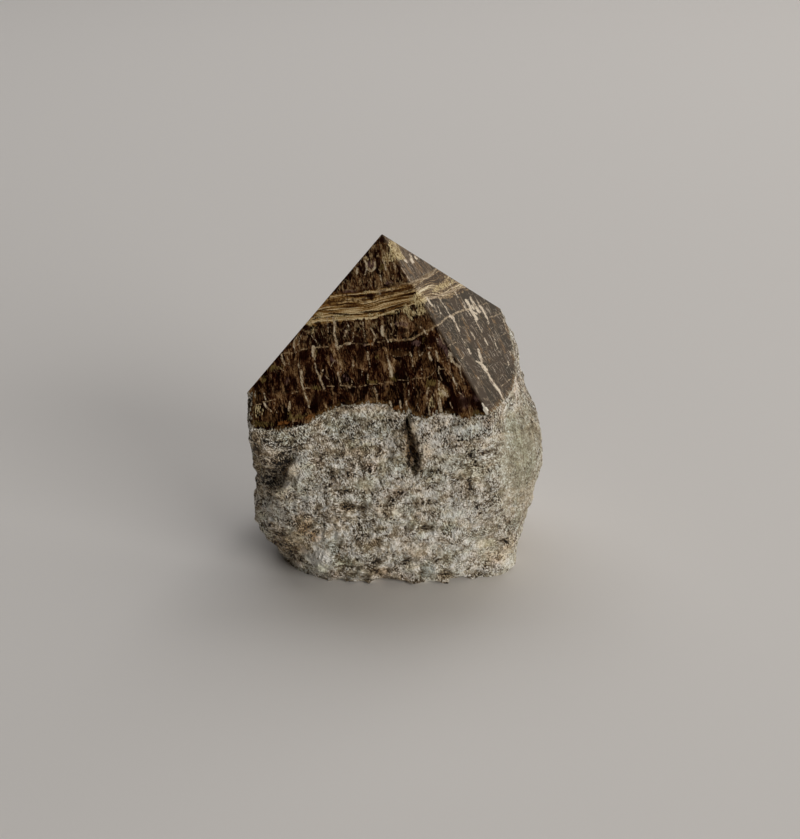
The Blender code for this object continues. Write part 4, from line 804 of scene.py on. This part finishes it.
class Tree:
    """Small helper that writes a material's nodes."""

    def __init__(self, name):
        self.material = bpy.data.materials.new(name)
        self.material.use_nodes = True
        self.nodes = self.material.node_tree.nodes
        self.links = self.material.node_tree.links
        self.shader = self.nodes["Principled BSDF"]

    def put(self, socket, value):
        if isinstance(value, bpy.types.NodeSocket):
            self.links.new(value, socket)
        elif value is not None:
            socket.default_value = value

    def attribute(self, name):
        node = self.nodes.new("ShaderNodeAttribute")
        node.attribute_name = name
        return node.outputs["Fac"]

    def math(self, op, a, b=None, c=None, clamp=False):
        node = self.nodes.new("ShaderNodeMath")
        node.operation = op
        node.use_clamp = clamp
        for socket, value in zip(node.inputs, (a, b, c)):
            self.put(socket, value)
        return node.outputs[0]

    def add(self, a, b): return self.math("ADD", a, b)
    def sub(self, a, b): return self.math("SUBTRACT", a, b)
    def mul(self, a, b): return self.math("MULTIPLY", a, b)
    def most(self, a, b): return self.math("MAXIMUM", a, b)
    def least(self, a, b): return self.math("MINIMUM", a, b)

    def step(self, x, low, high, start=0.0, end=1.0):
        node = self.nodes.new("ShaderNodeMapRange")
        node.interpolation_type = "SMOOTHSTEP"
        for key, value in (("Value", x), ("From Min", low), ("From Max", high), ("To Min", start), ("To Max", end)):
            self.put(node.inputs[key], value)
        return node.outputs["Result"]

    def join(self, x, y, z):
        node = self.nodes.new("ShaderNodeCombineXYZ")
        for socket, value in zip(node.inputs, (x, y, z)):
            self.put(socket, value)
        return node.outputs[0]

    def scaled(self, vector, factor):
        node = self.nodes.new("ShaderNodeVectorMath")
        node.operation = "MULTIPLY"
        self.put(node.inputs[0], vector)
        self.put(node.inputs[1], factor)
        return node.outputs[0]

    def shifted(self, vector, by):
        node = self.nodes.new("ShaderNodeVectorMath")
        node.operation = "ADD"
        self.put(node.inputs[0], vector)
        node.inputs[1].default_value = (by, 1.7 * by, -by)
        return node.outputs[0]

    def noise(self, vector, scale=1.0, detail=2.0, rough=0.5, twist=0.0):
        node = self.nodes.new("ShaderNodeTexNoise")
        self.put(node.inputs["Vector"], vector)
        for key, value in (("Scale", scale), ("Detail", detail), ("Roughness", rough), ("Distortion", twist)):
            self.put(node.inputs[key], value)
        return node.outputs["Fac"]

    def cells(self, vector, scale=1.0, feature="F1", random=1.0):
        node = self.nodes.new("ShaderNodeTexVoronoi")
        node.feature = feature
        self.put(node.inputs["Vector"], vector)
        self.put(node.inputs["Scale"], scale)
        self.put(node.inputs["Randomness"], random)
        return node

    def mix(self, factor, a, b, blend="MIX"):
        node = self.nodes.new("ShaderNodeMix")
        node.data_type = "RGBA"
        node.blend_type = blend
        self.put(node.inputs[0], factor)
        self.put(node.inputs[6], a)
        self.put(node.inputs[7], b)
        return node.outputs[2]

    def ramp(self, factor, stops):
        node = self.nodes.new("ShaderNodeValToRGB")
        elements = node.color_ramp.elements
        elements[0].position, elements[0].color = stops[0]
        elements[1].position, elements[1].color = stops[-1]
        for position, colour in stops[1:-1]:
            elements.new(position).color = colour
        self.put(node.inputs["Fac"], factor)
        return node.outputs["Color"]

    def place(self):
        """Object coordinates in millimetres."""
        node = self.nodes.new("ShaderNodeTexCoord")
        return self.scaled(node.outputs["Object"], (1000.0, 1000.0, 1000.0))

    def bump(self, height, distance, strength, under=None):
        node = self.nodes.new("ShaderNodeBump")
        self.put(node.inputs["Height"], height)
        node.inputs["Distance"].default_value = distance
        node.inputs["Strength"].default_value = strength
        if under is not None:
            self.put(node.inputs["Normal"], under)
        return node.outputs["Normal"]


def polished_material():
    t = Tree("aragonite_polished")
    p = t.place()
    u, g = t.attribute("across"), t.attribute("grow")
    rim, toward_right = t.attribute("rim"), t.attribute("toward_right")
    drift = t.sub(t.noise(p, 0.16, 2.0), 0.5)
    ripple = t.sub(t.noise(p, 0.7, 2.0), 0.5)
    u1 = t.add(u, t.add(t.mul(drift, 1.6), t.mul(ripple, 0.5)))
    g1 = t.add(g, t.add(t.mul(drift, 0.8), t.mul(ripple, 0.35)))

    def grain(width, length, seed, detail=2.0, rough=0.55):
        return t.noise(t.join(t.mul(u1, 1.0 / width), t.mul(g1, 1.0 / length), seed), 1.0, detail, rough)

    hair = grain(0.19, 0.75, 3.0, 1.0, 0.6)
    strand = grain(0.32, 1.5, 8.0, 2.0, 0.65)
    clump = grain(1.0, 3.0, 14.0, 3.0, 0.6)
    mottle = t.noise(p, 1.4, 3.0, 0.6)
    speck = t.noise(p, 3.6, 2.0, 0.6)

    # dark fibrous body, in bricks between the growth layers
    brick_at = t.join(t.mul(u1, 1 / 2.6), t.mul(g1, 1 / 4.6), 2.0)
    brick = t.cells(brick_at, 1.0)
    brick_tone = t.step(brick.outputs["Color"], 0.1, 0.9, -0.07, 0.07)
    body = t.add(t.add(t.mul(hair, 0.20), t.mul(strand, 0.24)), t.add(t.mul(clump, 0.40), t.mul(speck, 0.16)))
    calm = t.sub(1.0, t.mul(toward_right, 0.45))
    body = t.add(0.5, t.mul(t.add(t.sub(body, 0.5), brick_tone), t.mul(calm, 1.6)))
    colour = t.ramp(body, [
        (0.34, rgb(10, 1, 0)), (0.45, rgb(19, 3, 1)), (0.52, rgb(36, 14, 7)), (0.59, rgb(76, 48, 27)),
        (0.67, rgb(128, 99, 64)), (0.78, rgb(194, 168, 130))])
    tint = t.step(grain(2.2, 3.0, 19.0, 1.0), 0.42, 0.62)
    colour = t.mix(t.mul(tint, 0.55), colour, t.mix(1.0, colour, rgb(250, 232, 236), "MULTIPLY"))

    def ragged_patch(kind, low=0.30, high=0.62, ragged=1.3):
        """A placed patch with a fibrous, broken edge."""
        edge = t.add(t.mul(t.sub(strand, 0.5), ragged), t.mul(t.sub(hair, 0.5), ragged * 0.7))
        return t.step(t.add(t.attribute(kind), t.mul(edge, t.step(t.attribute(kind), 0.02, 0.3))), low, high)

    def pair(dark, light, by=None):
        return t.ramp(by or t.add(t.mul(hair, 0.5), t.mul(strand, 0.5)), [(0.40, rgb(*dark)), (0.60, rgb(*light))])

    # tan walls between the bricks, and torn vertical streaks
    wall = t.cells(brick_at, 1.0, "DISTANCE_TO_EDGE")
    wall = t.mul(t.step(wall.outputs["Distance"], 0.012, 0.06, 1.0, 0.0), t.step(grain(0.4, 1.4, 25.0), 0.47, 0.60))
    torn = t.mul(t.step(grain(0.42, 1.5, 31.0, 3.0, 0.65), 0.61, 0.69), calm)
    tan = pair((66, 42, 24), (150, 120, 86), hair)
    colour = t.mix(t.mul(t.most(t.mul(wall, calm), torn), 0.42), colour, tan)
    colour = t.mix(t.mul(ragged_patch("brown", ragged=2.0), 0.6), colour, pair((34, 12, 4), (104, 74, 44)))
    # mauve patches: a purple-grey tint that is partly painted sheen on the dark polish
    colour = t.mix(t.mul(ragged_patch("mauve"), 0.75), colour, pair((48, 26, 24), (118, 92, 84)))

    # crowded pale blotches above the band and just under it
    crowd = t.most(t.step(g1, 62.9, 64.0), t.mul(t.mul(t.step(g1, 53.0, 56.0), t.step(g1, 57.9, 57.2)), 0.85))
    pale = t.step(grain(0.55, 1.6, 44.0, 3.0, 0.62), 0.51, 0.60)
    pale_colour = pair((84, 54, 28), (186, 160, 118), grain(0.3, 0.6, 51.0, 2.0, 0.65))
    colour = t.mix(t.mul(t.mul(pale, crowd), t.mul(calm, 0.72)), colour, pale_colour)

    # the golden laminated band
    low = t.add(57.9, t.mul(t.sub(grain(0.7, 9.0, 60.0), 0.5), 2.0))
    band = t.mul(t.step(t.sub(g1, low), -0.12, 0.15), t.step(g1, 63.6, 62.9))
    leaf = t.add(t.mul(t.noise(t.join(t.mul(u1, 0.08), t.mul(g1, 1.6), t.mul(g1, 0.3)), 1.0, 1.0, 0.5), 0.45),
                 t.mul(t.noise(t.join(t.mul(u1, 0.14), t.mul(g1, 4.2), t.mul(g1, 0.5)), 1.0, 1.0, 0.7), 0.55))
    leaf = t.add(leaf, t.mul(t.sub(grain(0.22, 0.32, 64.0, 2.0, 0.6), 0.5), 0.26))
    leaf = t.sub(leaf, t.step(g1, 60.6, 62.8, 0.0, 0.035))
    gold = t.ramp(leaf, [
        (0.38, rgb(34, 12, 3)), (0.44, rgb(84, 52, 22)), (0.495, rgb(138, 103, 56)), (0.55, rgb(180, 148, 98)), (0.62, rgb(224, 202, 158))])
    broken = t.mul(t.step(g1, 60.2, 61.6), t.step(grain(0.8, 0.9, 66.0, 3.0), 0.49, 0.56))
    gold = t.mix(t.mul(broken, 0.8), gold, pair((36, 12, 4), (90, 60, 34)))
    for at, half, seed, weight in ((58.95, 0.17, 71.0, 0.9), (60.4, 0.12, 77.0, 0.75), (61.7, 0.10, 79.0, 0.6)):
        seam = t.mul(t.step(t.math("ABSOLUTE", t.sub(g1, at)), half, half * 0.35), t.step(grain(3.5, 30.0, seed), 0.43, 0.51))
        gold = t.mix(t.mul(seam, weight), gold, rgb(36, 12, 3))
    chopped = t.add(leaf, t.mul(t.sub(grain(0.55, 0.22, 105.0, 2.0, 0.6), 0.5), 0.55))
    gold = t.mix(t.mul(toward_right, 0.85), gold, t.ramp(chopped, [
        (0.38, rgb(40, 24, 14)), (0.47, rgb(84, 64, 44)), (0.53, rgb(122, 100, 72)), (0.60, rgb(190, 170, 134)), (0.67, rgb(236, 224, 196))]))
    colour = t.mix(band, colour, gold)

    # the facet to the right is evener, with a fine hatch, and lighter above the band; its greyer, paler body is partly
    # its own colour and partly painted reflection of the bright light it faces
    hatch = t.add(t.mul(hair, 0.6), t.mul(strand, 0.4))
    even = t.mul(t.mul(toward_right, t.sub(1.0, band)), 0.93)
    block = t.nodes.new("ShaderNodeSeparateColor")
    t.put(block.inputs[0], brick.outputs["Color"])
    closed = t.ramp(block.outputs[1], [(0.15, rgb(30, 26, 20)), (0.5, rgb(40, 32, 25)), (0.85, rgb(54, 43, 35))])
    right = t.mix(t.step(block.outputs[0], 0.50, 0.75, 0.08, 0.50), closed,
                  t.ramp(hatch, [(0.36, rgb(18, 11, 7)), (0.5, rgb(38, 28, 20)), (0.64, rgb(92, 74, 57))]))
    colour = t.mix(even, colour, right)
    colour = t.mix(t.mul(t.mul(wall, toward_right), 0.55), colour, rgb(146, 130, 108))
    upper = t.mul(t.mul(toward_right, t.step(g1, 62.6, 64.0)), t.step(grain(0.8, 4.0, 101.0), 0.40, 0.56))
    colour = t.mix(t.mul(upper, 0.75), colour, pair((66, 48, 36), (132, 110, 86)))

    colour = t.mix(t.mul(ragged_patch("gold", ragged=2.2), 0.8), colour, t.ramp(t.add(t.mul(t.add(hair, strand), 0.28), t.mul(speck, 0.44)), [(0.38, rgb(44, 20, 6)), (0.465, rgb(132, 104, 58)), (0.56, rgb(226, 208, 160))]))

    scratch = t.most(t.step(grain(0.20, 2.4, 95.0, 2.0, 0.6), 0.625, 0.67), t.mul(t.step(grain(2.6, 0.20, 99.0, 1.0), 0.64, 0.72), 0.4))
    colour = t.mix(t.mul(t.mul(scratch, t.mul(toward_right, t.sub(1.0, band))), 0.72), colour, rgb(208, 194, 176))

    # veins and growth lines placed one by one
    tear = t.mul(t.sub(t.noise(p, 2.6, 3.0, 0.65), 0.5), 0.75)
    tan_vein = t.step(t.add(t.attribute("vein_tan"), t.mul(tear, 1.4)), 0.14, -0.20)
    colour = t.mix(t.mul(t.mul(tan_vein, t.step(strand, 0.42, 0.60)), 0.75), colour, pair((70, 44, 24), (156, 124, 86)))
    colour = t.mix(t.mul(ragged_patch("olive", ragged=2.0), 0.7), colour, pair((46, 34, 14), (128, 108, 62)))
    colour = t.mix(t.mul(ragged_patch("rust", ragged=2.0), 0.75), colour, pair((60, 28, 8), (150, 98, 50), t.add(t.mul(hair, 0.4), t.mul(speck, 0.6))))
    line = t.mul(t.step(t.add(t.attribute("vein_line"), t.mul(tear, 0.8)), 0.10, -0.08), t.step(grain(0.5, 30.0, 82.0), 0.34, 0.50, 0.15, 1.0))
    colour = t.mix(t.mul(line, 0.85), colour, t.ramp(speck, [(0.36, rgb(110, 80, 50)), (0.60, rgb(196, 170, 130))]))
    colour = t.mix(t.mul(t.mul(line, toward_right), 0.6), colour, t.ramp(speck, [(0.36, rgb(96, 78, 60)), (0.60, rgb(204, 190, 168))]))
    cream_at = t.attribute("vein_cream")
    cream = t.step(t.add(cream_at, t.mul(tear, 0.85)), 0.05, -0.12)
    glow = t.add(t.add(t.mul(speck, 0.40), t.mul(grain(0.30, 1.3, 91.0, 1.0), 0.60)), t.mul(t.math("MAXIMUM", cream_at, -0.4), -0.30))
    colour = t.mix(t.mul(cream, t.step(glow, 0.36, 0.52, 0.45, 0.95)), colour, t.ramp(glow, [
        (0.38, rgb(84, 58, 38)), (0.47, rgb(140, 114, 84)), (0.56, rgb(188, 168, 136)), (0.68, rgb(224, 210, 184))]))
    colour = t.mix(t.mul(t.mul(cream, toward_right), t.step(glow, 0.40, 0.56, 0.1, 0.6)), colour, rgb(232, 220, 202))
    colour = t.mix(t.mul(ragged_patch("dark", 0.35, 0.75, 1.0), 0.92), colour, pair((14, 1, 0), (34, 12, 6)))

    # iron-stained fringe where the polish runs out, and the rough skin's fibres that break into it
    fringe = t.mul(t.step(t.add(rim, t.mul(t.sub(mottle, 0.5), 2.0)), 1.3, 0.2), t.step(t.noise(p, 0.22, 2.0), 0.44, 0.56))
    colour = t.mix(t.mul(fringe, 0.65), colour, pair((60, 34, 12), (146, 112, 66), t.add(t.mul(hair, 0.5), t.mul(speck, 0.5))))
    tooth = t.step(t.add(rim, t.mul(t.sub(t.noise(t.join(t.mul(u, 2.6), t.mul(g, 0.7), 5.0), 1.0, 2.0, 0.7), 0.5), 3.6)), 0.20, 0.05)
    colour = t.mix(t.mul(tooth, 0.85), colour, pair((92, 84, 66), (206, 200, 180), speck))
    # the chip at the ridge's foot: white broken stone with a painted glint on it
    colour = t.mix(t.step(t.add(t.attribute("chip"), t.mul(tear, 0.8)), 0.45, 0.6), colour, rgb(250, 244, 226))

    # painted shade: the rounded ridge strip below the band is darkened to dim the reflection it catches
    painted_ridge_shade = t.mul(t.mul(toward_right, t.sub(1.0, toward_right)), t.step(g1, 58.5, 56.5))
    colour = t.mix(t.mul(painted_ridge_shade, 2.2), colour, t.mix(1.0, colour, rgb(120, 104, 96), "MULTIPLY"))

    t.put(t.shader.inputs["Base Color"], colour)
    t.put(t.shader.inputs["Roughness"], t.step(t.add(t.mul(hair, 0.5), t.mul(mottle, 0.5)), 0.3, 0.7, 0.17, 0.27))
    t.shader.inputs["IOR"].default_value = 1.6
    t.shader.inputs["Specular IOR Level"].default_value = 0.34
    t.shader.inputs["Specular Tint"].default_value = (1.0, 0.76, 0.44, 1.0)
    t.put(t.shader.inputs["Normal"], t.bump(t.add(strand, t.mul(mottle, 0.6)), 0.00002, 0.25))
    return t.material


def rough_material():
    t = Tree("aragonite_rough")
    p = t.place()
    g = t.attribute("grow")
    axis = t.nodes.new("ShaderNodeSeparateXYZ")
    t.put(axis.inputs[0], p)
    x, y, z = axis.outputs

    def lumpy(scale, weight, seed=0.0, stretch=1.0, detail=0.0):
        """Noise about zero: `scale` is the size of a lump in millimetres."""
        node = t.noise(t.scaled(t.shifted(p, seed), (1 / scale, 1 / scale, 1 / (scale * stretch))), 1.0, detail)
        return t.mul(t.sub(node, 0.5), weight)

    # grains torn into short fibres, which lie another way from patch to patch
    side = t.add(x, t.mul(y, 0.5))

    def fibres(lean, width, length, seed):
        a = math.radians(lean)
        over = t.add(t.mul(side, math.cos(a) / width), t.mul(z, math.sin(a) / width))
        along = t.add(t.mul(side, -math.sin(a) / length), t.mul(z, math.cos(a) / length))
        return t.sub(t.noise(t.join(over, along, t.add(t.mul(y, 0.4), seed)), 1.0, 1.0, 0.6), 0.5)

    patch = t.cells(t.shifted(p, 6.0), 0.34)
    pick = t.nodes.new("ShaderNodeSeparateColor")
    t.put(pick.inputs[0], patch.outputs["Color"])
    steep, flat, other = fibres(22.0, 0.20, 0.75, 3.0), fibres(80.0, 0.24, 0.8, 9.0), fibres(-38.0, 0.22, 0.75, 15.0)
    high = t.step(z, 34.0, 41.0)
    choice = t.add(pick.outputs[0], t.mul(high, 0.4))
    torn = t.add(t.mul(steep, t.step(choice, 0.48, 0.52)),
                 t.add(t.mul(flat, t.step(choice, 0.27, 0.23)), t.mul(other, t.mul(t.step(choice, 0.23, 0.27), t.step(choice, 0.52, 0.48)))))

    grains = t.cells(p, 1.9)
    dust = t.cells(p, 4.2)
    warp = t.noise(p, 0.35, 2.0)
    level = t.noise(t.join(t.mul(warp, 3.0), warp, t.mul(g, 0.9)), 1.0, 3.0, 0.6)
    # crumbly in some patches, closed and even in others
    smooth = t.least(t.attribute("smooth"), 1.0)
    crunch = t.step(t.add(t.noise(t.shifted(p, 51.0), 0.42, 2.0, 0.6), t.mul(smooth, -0.30)), 0.38, 0.62)
    crisp = t.add(1.0, t.add(t.step(z, 33.0, 37.0, 0.0, 0.35), t.step(x, -16.0, -22.0, 0.0, 0.35)))
    fine = t.add(t.mul(t.add(lumpy(0.25, 0.65, 3.0), lumpy(0.42, 0.60, 7.0)), crisp), t.mul(t.mul(torn, crisp), t.step(z, 6.0, 16.0, 1.4, 1.7)))
    even = t.step(x, 16.0, 22.0, 1.0, 0.55)
    middle = t.mul(t.add(lumpy(0.8, 0.42, 11.0, 1.0), lumpy(1.7, 0.58, 19.0, 0.8)), even)
    broad = t.mul(t.add(lumpy(3.6, 0.62, 23.0, 0.7), lumpy(8.0, 0.40, 29.0)), even)
    # bright specks, partly the skin's white crystals and partly painted glints; dark specks, partly dark grains and
    # partly painted shade in tiny pits
    spark = t.step(t.noise(t.shifted(p, 61.0), 2.1, 1.0, 0.6, 0.6), 0.585, 0.70)
    pit = t.step(t.noise(t.shifted(p, 67.0), 1.8, 1.0, 0.6, 0.6), 0.405, 0.30)

    def thread(scale, seed, half):
        """Thin wandering lines."""
        node = t.noise(t.shifted(p, seed), 1 / scale, 1.0, 0.5, 0.5)
        return t.step(t.math("ABSOLUTE", t.sub(node, 0.5)), half, half * 0.2)

    cracks = t.add(t.mul(t.mul(thread(1.7, 31.0, 0.016), t.step(lumpy(3.0, 1.0, 33.0), 0.0, 0.08)), 0.24),
                   t.mul(t.mul(thread(0.8, 35.0, 0.028), t.step(lumpy(2.2, 1.0, 37.0), 0.02, 0.08)), 0.20))
    # thin bright threads, partly fibres and partly painted highlights
    threads = t.mul(t.mul(thread(1.1, 43.0, 0.022), t.step(lumpy(2.4, 1.0, 45.0), -0.04, 0.06)), 0.38)
    rough = t.add(t.add(t.mul(t.sub(dust.outputs["Color"], 0.5), 0.24), t.mul(t.sub(grains.outputs["Color"], 0.5), 0.10)), fine)
    rough = t.add(rough, t.add(threads, t.sub(t.mul(spark, 0.44), t.mul(pit, 0.38))))
    tone = t.add(t.mul(rough, t.add(0.38, t.mul(crunch, 0.95))), t.mul(t.add(middle, broad), t.sub(1.1, t.mul(smooth, 0.5))))
    tone = t.add(tone, t.mul(t.sub(level, 0.5), 0.30))
    tone = t.sub(tone, cracks)
    rim = t.attribute("rim")
    tone = t.add(t.add(tone, 0.72), t.step(rim, 0.9, 0.1, 0.0, 0.06))
    # Painted light and shade: the skin is lighter towards the foot and darker towards the right flank. It is also
    # darker high up left of the crevice, and a little darker towards the left flank.
    tone = t.add(tone, t.add(t.step(z, 26.0, 6.0, 0.0, 0.08), t.mul(t.step(z, 31.0, 37.5, 0.0, -0.14), t.step(x, 4.0, -2.0))))
    tone = t.add(tone, t.add(t.step(x, 17.0, 27.0, 0.0, -0.08), t.step(x, -21.0, -28.0, 0.0, -0.03)))
    crumble = t.add(1.0, t.mul(t.add(fine, middle), 1.6))
    tone = t.add(tone, t.mul(t.mul(t.attribute("pale"), crumble), 0.30))
    tone = t.sub(tone, t.mul(t.mul(t.attribute("dark"), t.sub(2.0, crumble)), 0.50))
    colour = t.ramp(tone, [
        (0.0, rgb(18, 10, 4)), (0.2, rgb(63, 47, 31)), (0.4, rgb(117, 101, 79)), (0.6, rgb(165, 152, 128)),
        (0.8, rgb(213, 203, 184)), (1.0, rgb(254, 250, 241))])

    # patches of pinkish, olive, brown, tan and cool grey
    def tinted(colour, amount, by):
        return t.mix(amount, colour, t.mix(1.0, colour, rgb(*by), "MULTIPLY"))

    hue = t.add(lumpy(2.2, 1.5, 41.0), lumpy(6.0, 1.8, 47.0))
    colour = tinted(colour, t.mul(t.step(hue, 0.05, 0.5), 0.4), (255, 242, 230))
    colour = tinted(colour, t.mul(t.step(hue, -0.05, -0.5), 0.4), (244, 249, 238))
    colour = tinted(colour, t.mul(t.step(level, 0.52, 0.64), 0.35), (232, 214, 178))
    for kind, amount, by in (("brown", 0.75, (226, 206, 170)), ("cool", 0.6, (230, 242, 241)), ("olive", 0.6, (238, 240, 212)),
                             ("pink", 0.6, (255, 234, 222)), ("buff", 0.6, (252, 234, 204))):
        colour = tinted(colour, t.mul(t.least(t.attribute(kind), 1.0), amount), by)
    rust = t.mul(t.least(t.attribute("rust"), 1.3), t.step(t.add(middle, fine), -0.10, 0.06))
    colour = tinted(colour, t.mul(rust, 0.6), (236, 196, 140))
    t.put(t.shader.inputs["Base Color"], colour)
    t.put(t.shader.inputs["Roughness"], t.step(grains.outputs["Color"], 0.0, 1.0, 0.5, 0.85))
    t.shader.inputs["IOR"].default_value = 1.6
    t.shader.inputs["Specular IOR Level"].default_value = 0.3

    def ridged(scale, seed):
        node = t.noise(t.shifted(p, seed), 1 / scale, 0.0, 0.5, 0.3)
        return t.sub(1.0, t.mul(t.math("ABSOLUTE", t.sub(node, 0.5)), 4.0))

    height = t.add(t.add(t.mul(ridged(2.2, 71.0), 0.9), t.mul(ridged(1.1, 73.0), 0.5)), t.mul(ridged(0.5, 75.0), 0.22))
    height = t.mul(height, t.sub(1.0, t.mul(smooth, 0.7)))
    height = t.add(height, t.mul(t.add(fine, t.mul(grains.outputs["Distance"], -0.4)), t.add(0.3, t.mul(crunch, 0.5))))
    height = t.sub(height, t.mul(cracks, 1.2))
    t.put(t.shader.inputs["Normal"], t.bump(height, 0.0006, 0.85))
    return t.material


mesh.materials.append(polished_material())
mesh.materials.append(rough_material())
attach(stone, "root")
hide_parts("aragonite_point")

# =====================================================================================
# A plain pale floor and plain soft light
# =====================================================================================

bpy.ops.mesh.primitive_plane_add(size=8.0, location=(0, 0, 0))
floor = bpy.context.object
floor.name = "floor"
ground = Tree("floor")
ground.shader.inputs["Base Color"].default_value = rgb(221, 217, 212)
ground.shader.inputs["Roughness"].default_value = 0.8
ground.shader.inputs["Specular IOR Level"].default_value = 0.2
floor.data.materials.append(ground.material)


def softbox(name, towards, distance, size, radiance, colour=(1, 1, 1)):
    """A rectangular area light that lies in one direction from the stone and looks at it."""
    light = bpy.data.lights.new(name, "AREA")
    light.shape = "RECTANGLE"
    light.size, light.size_y = size
    light.energy = radiance * math.pi * size[0] * size[1]
    light.color = colour
    ob = bpy.data.objects.new(name, light)
    way = Vector(towards).normalized()
    ob.location = Vector((0, 0, 0.035)) + way * distance
    ob.rotation_euler = way.to_track_quat("Z", "Y").to_euler()
    bpy.context.scene.collection.objects.link(ob)
    return ob


softbox("window", (0.74, 0.39, 0.55), 1.5, (2.2, 1.7), 0.82, (1.0, 0.96, 0.91))
softbox("fill", (0.68, -0.70, 0.33), 1.4, (0.9, 0.6), 6.6, (1.0, 0.98, 0.955))
softbox("sky", (-0.05, 0.55, 0.85), 1.4, (1.8, 1.0), 1.6, (0.98, 0.98, 1.0))

world = bpy.data.worlds.new("room")
world.use_nodes = True
world.node_tree.nodes["Background"].inputs["Color"].default_value = (0.86, 0.87, 0.88, 1.0)
world.node_tree.nodes["Background"].inputs["Strength"].default_value = 0.01
backdrop = world.node_tree.nodes.new("ShaderNodeBackground")
backdrop.inputs["Color"].default_value = rgb(150, 148, 145)
seen = world.node_tree.nodes.new("ShaderNodeMixShader")
world.node_tree.links.new(world.node_tree.nodes.new("ShaderNodeLightPath").outputs["Is Camera Ray"], seen.inputs[0])
world.node_tree.links.new(world.node_tree.nodes["Background"].outputs[0], seen.inputs[1])
world.node_tree.links.new(backdrop.outputs[0], seen.inputs[2])
world.node_tree.links.new(seen.outputs[0], world.node_tree.nodes["World Output"].inputs["Surface"])
bpy.context.scene.world = world
bpy.context.scene.view_settings.view_transform = "Standard"
